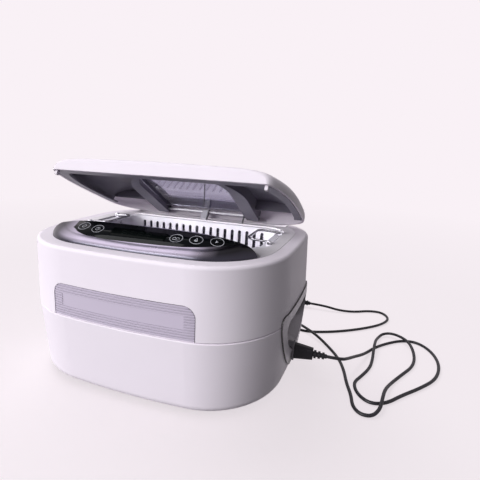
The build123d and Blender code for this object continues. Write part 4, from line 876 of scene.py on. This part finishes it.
class CLEANER_OT_inner_parts(bpy.types.Operator):
    """Finish the transducers, the generator, the fan and the inlet"""
    bl_idname = "cleaner.inner_parts"
    bl_label = "Inner parts"

    def execute(self, context):
        aluminium = cast_metal("turned_aluminium", srgb(198, 199, 202), 0.35)
        steel = cast_metal("turned_steel", srgb(150, 152, 156), 0.32)
        for side in ("left", "right"):
            dress(aluminium, "horn_" + side)
            dress(steel, "back_mass_" + side, "clamp_bolt_" + side)
            dress(moulded("ceramic_" + side, srgb(196, 186, 160), 0.5), "piezo_stack_" + side)
        dress(aluminium, "heat_sink")
        dress(moulded("transformer_core", srgb(96, 74, 40), 0.45, 0.00005, 0.15), "transformer")
        dress(moulded("fan_black", srgb(26, 26, 28), 0.45, 0.00004, 0.1), "fan_frame", "fan_rotor")
        dress(moulded("inlet_grey", srgb(150, 146, 154), 0.4, 0.00004, 0.1), "ac_inlet")
        return {"FINISHED"}


class CLEANER_OT_stage(bpy.types.Operator):
    """Set the pale table top, the backdrop and the soft studio light"""
    bl_idname = "cleaner.stage"
    bl_label = "Stage"

    def seen(self, tree):
        """Whether a ray comes from the camera, a reflection or a clear piece."""
        path = tree.nodes.new("ShaderNodeLightPath")
        total = path.outputs["Is Camera Ray"]
        for name in ("Is Glossy Ray", "Is Transmission Ray"):
            more = tree.nodes.new("ShaderNodeMath")
            more.operation = "MAXIMUM"
            tree.links.new(total, more.inputs[0])
            tree.links.new(path.outputs[name], more.inputs[1])
            total = more.outputs[0]
        return total

    def backdrop(self, context):
        """World: the pale background where it is seen, and a low even light elsewhere."""
        stage = context.scene.cleaner_stage
        world = bpy.data.worlds.new("studio")
        world.use_nodes = True
        tree = world.node_tree
        around = tree.nodes["Background"]
        around.inputs["Color"].default_value = (1.0, 1.0, 1.0, 1.0)
        around.inputs["Strength"].default_value = stage.ambient
        pale = tree.nodes.new("ShaderNodeBackground")
        pale.inputs["Color"].default_value = stage.background[:]
        mix = tree.nodes.new("ShaderNodeMixShader")
        tree.links.new(self.seen(tree), mix.inputs["Fac"])
        tree.links.new(around.outputs[0], mix.inputs[1])
        tree.links.new(pale.outputs[0], mix.inputs[2])
        tree.links.new(mix.outputs[0], tree.nodes["World Output"].inputs["Surface"])
        context.scene.world = world

    # The floor: share of even light, grey that it throws back, and where it fades, in metres
    EVEN_SHARE = 0.5
    THROWN_BACK = 0.26
    FADE = (0.5, 1.4)

    def table_top(self, context):
        """Floor: pale where it is seen, greyer to the light it throws back, and running into
        the backdrop with the distance from the object."""
        stage = context.scene.cleaner_stage
        reach = 4000.0
        steps = np.linspace(-reach, reach, 9)
        x, y = np.meshgrid(steps, steps)
        points = np.stack([x, y, np.full_like(x, -0.1)], axis=-1)
        floor = surface_piece("table_top", points, "base", self.floor_finish(stage))
        floor.parent = None
        return floor

    def floor_finish(self, stage):
        finish = Finish("table_top_pale", Roughness=0.9)
        tree = finish.tree
        tree.nodes.remove(finish.shader)
        lit = tree.nodes.new("ShaderNodeBsdfDiffuse")
        lit.inputs["Color"].default_value = stage.floor[:]
        even = tree.nodes.new("ShaderNodeEmission")
        even.inputs["Color"].default_value = stage.floor[:]
        even.inputs["Strength"].default_value = stage.floor_glow
        pale = tree.nodes.new("ShaderNodeMixShader")
        pale.inputs["Fac"].default_value = self.EVEN_SHARE
        finish.link(lit.outputs[0], pale.inputs[1])
        finish.link(even.outputs[0], pale.inputs[2])
        grey = tree.nodes.new("ShaderNodeBsdfDiffuse")
        grey.inputs["Color"].default_value = (*[self.THROWN_BACK] * 3, 1.0)
        glow = tree.nodes.new("ShaderNodeEmission")
        glow.inputs["Color"].default_value = stage.background[:]
        distance = finish.node("ShaderNodeVectorMath")
        distance.operation = "LENGTH"
        finish.link(finish.place, distance.inputs[0])
        away = finish.spread(distance.outputs["Value"], 0.0, 1.0, *self.FADE)
        far = tree.nodes.new("ShaderNodeMixShader")
        finish.link(away, far.inputs["Fac"])
        finish.link(pale.outputs[0], far.inputs[1])
        finish.link(glow.outputs[0], far.inputs[2])
        mix = tree.nodes.new("ShaderNodeMixShader")
        finish.link(self.seen(tree), mix.inputs["Fac"])
        finish.link(grey.outputs[0], mix.inputs[1])
        finish.link(far.outputs[0], mix.inputs[2])
        finish.link(mix.outputs[0], tree.nodes["Material Output"].inputs["Surface"])
        return finish.material

    def distant_light(self, context, name, towards, strength, spread):
        """A distant soft light that shines from a direction."""
        lamp = bpy.data.lights.new(name, "SUN")
        lamp.energy = strength
        lamp.angle = radians(spread)
        light = bpy.data.objects.new(name, lamp)
        light.rotation_euler = Vector(towards).to_track_quat("Z", "Y").to_euler()
        context.scene.collection.objects.link(light)
        return light

    def leave_out(self, light, *pieces):
        """Keep a light off some pieces."""
        unlit = bpy.data.collections.new("out_of_" + light.name)
        light.light_linking.receiver_collection = unlit
        for piece in pieces:
            unlit.objects.link(piece)
        for held in unlit.collection_objects:
            held.light_linking.link_state = "EXCLUDE"

    def execute(self, context):
        stage = context.scene.cleaner_stage
        self.backdrop(context)
        floor = self.table_top(context)
        key = self.distant_light(context, "key_light", (-0.5, -0.75, 0.43), stage.key_strength, 36)
        back = self.distant_light(context, "back_light", (-0.45, 0.4, 0.8), stage.back_strength, 40)
        fill = self.distant_light(context, "fill_light", (-0.75, -0.65, 0.04), stage.fill_strength, 36)
        inner = bpy.data.collections.new("under_the_lid")
        fill.light_linking.receiver_collection = inner
        for name in ("lid_liner_left", "lid_liner_right", "window_frame", "deck", "basket",
                     "hinge_rod", "hinge_clip"):
            inner.objects.link(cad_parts[name])
        self.leave_out(key, floor)
        self.leave_out(back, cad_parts["touch_glass"], bpy.data.objects["panel_bezel"],
                       bpy.data.objects["display_window"], bpy.data.objects["display_figures"])
        context.scene.view_settings.view_transform = "Standard"
        return {"FINISHED"}


class CLEANER_PT_panel(bpy.types.Panel):
    """Lists the settings and the steps of the model"""
    bl_idname = "CLEANER_PT_panel"
    bl_label = "Ultrasonic cleaner"
    bl_space_type = "VIEW_3D"
    bl_region_type = "UI"
    bl_category = "Cleaner"

    def draw(self, context):
        for step in STEPS:
            self.layout.operator(step.bl_idname)
        for name, group in SETTINGS.items():
            box = self.layout.box()
            box.label(text=group.__name__)
            for field in group.__annotations__:
                box.prop(getattr(context.scene, name), field)


SETTINGS = {
    "cleaner_camera": CleanerCameraSettings,
    "cleaner_sizes": CleanerSizeSettings,
    "cleaner_colours": CleanerColourSettings,
    "cleaner_stage": CleanerStageSettings,
}
STEPS = (
    CLEANER_OT_camera,
    CLEANER_OT_cord,
    CLEANER_OT_housing,
    CLEANER_OT_label_plate,
    CLEANER_OT_panel,
    CLEANER_OT_bezel,
    CLEANER_OT_key_marks,
    CLEANER_OT_tank,
    CLEANER_OT_lid,
    CLEANER_OT_hinge,
    CLEANER_OT_inner_parts,
    CLEANER_OT_stage,
)


def register():
    """Add the settings, the operators and the sidebar panel."""
    for kind in (*SETTINGS.values(), *STEPS, CLEANER_PT_panel):
        bpy.utils.register_class(kind)
    for name, group in SETTINGS.items():
        setattr(bpy.types.Scene, name, bpy.props.PointerProperty(type=group))


def unregister():
    """Take them away again."""
    for name in SETTINGS:
        delattr(bpy.types.Scene, name)
    for kind in (CLEANER_PT_panel, *reversed(STEPS), *reversed(SETTINGS.values())):
        bpy.utils.unregister_class(kind)


def main():
    """Run every step in order."""
    register()
    bpy.ops.cleaner.camera()
    bpy.ops.cleaner.cord()
    bpy.ops.cleaner.housing()
    bpy.ops.cleaner.label_plate()
    bpy.ops.cleaner.panel()
    bpy.ops.cleaner.bezel()
    bpy.ops.cleaner.key_marks()
    bpy.ops.cleaner.tank()
    bpy.ops.cleaner.lid()
    bpy.ops.cleaner.hinge()
    bpy.ops.cleaner.inner_parts()
    bpy.ops.cleaner.stage()


if __name__ == "__main__":
    main()
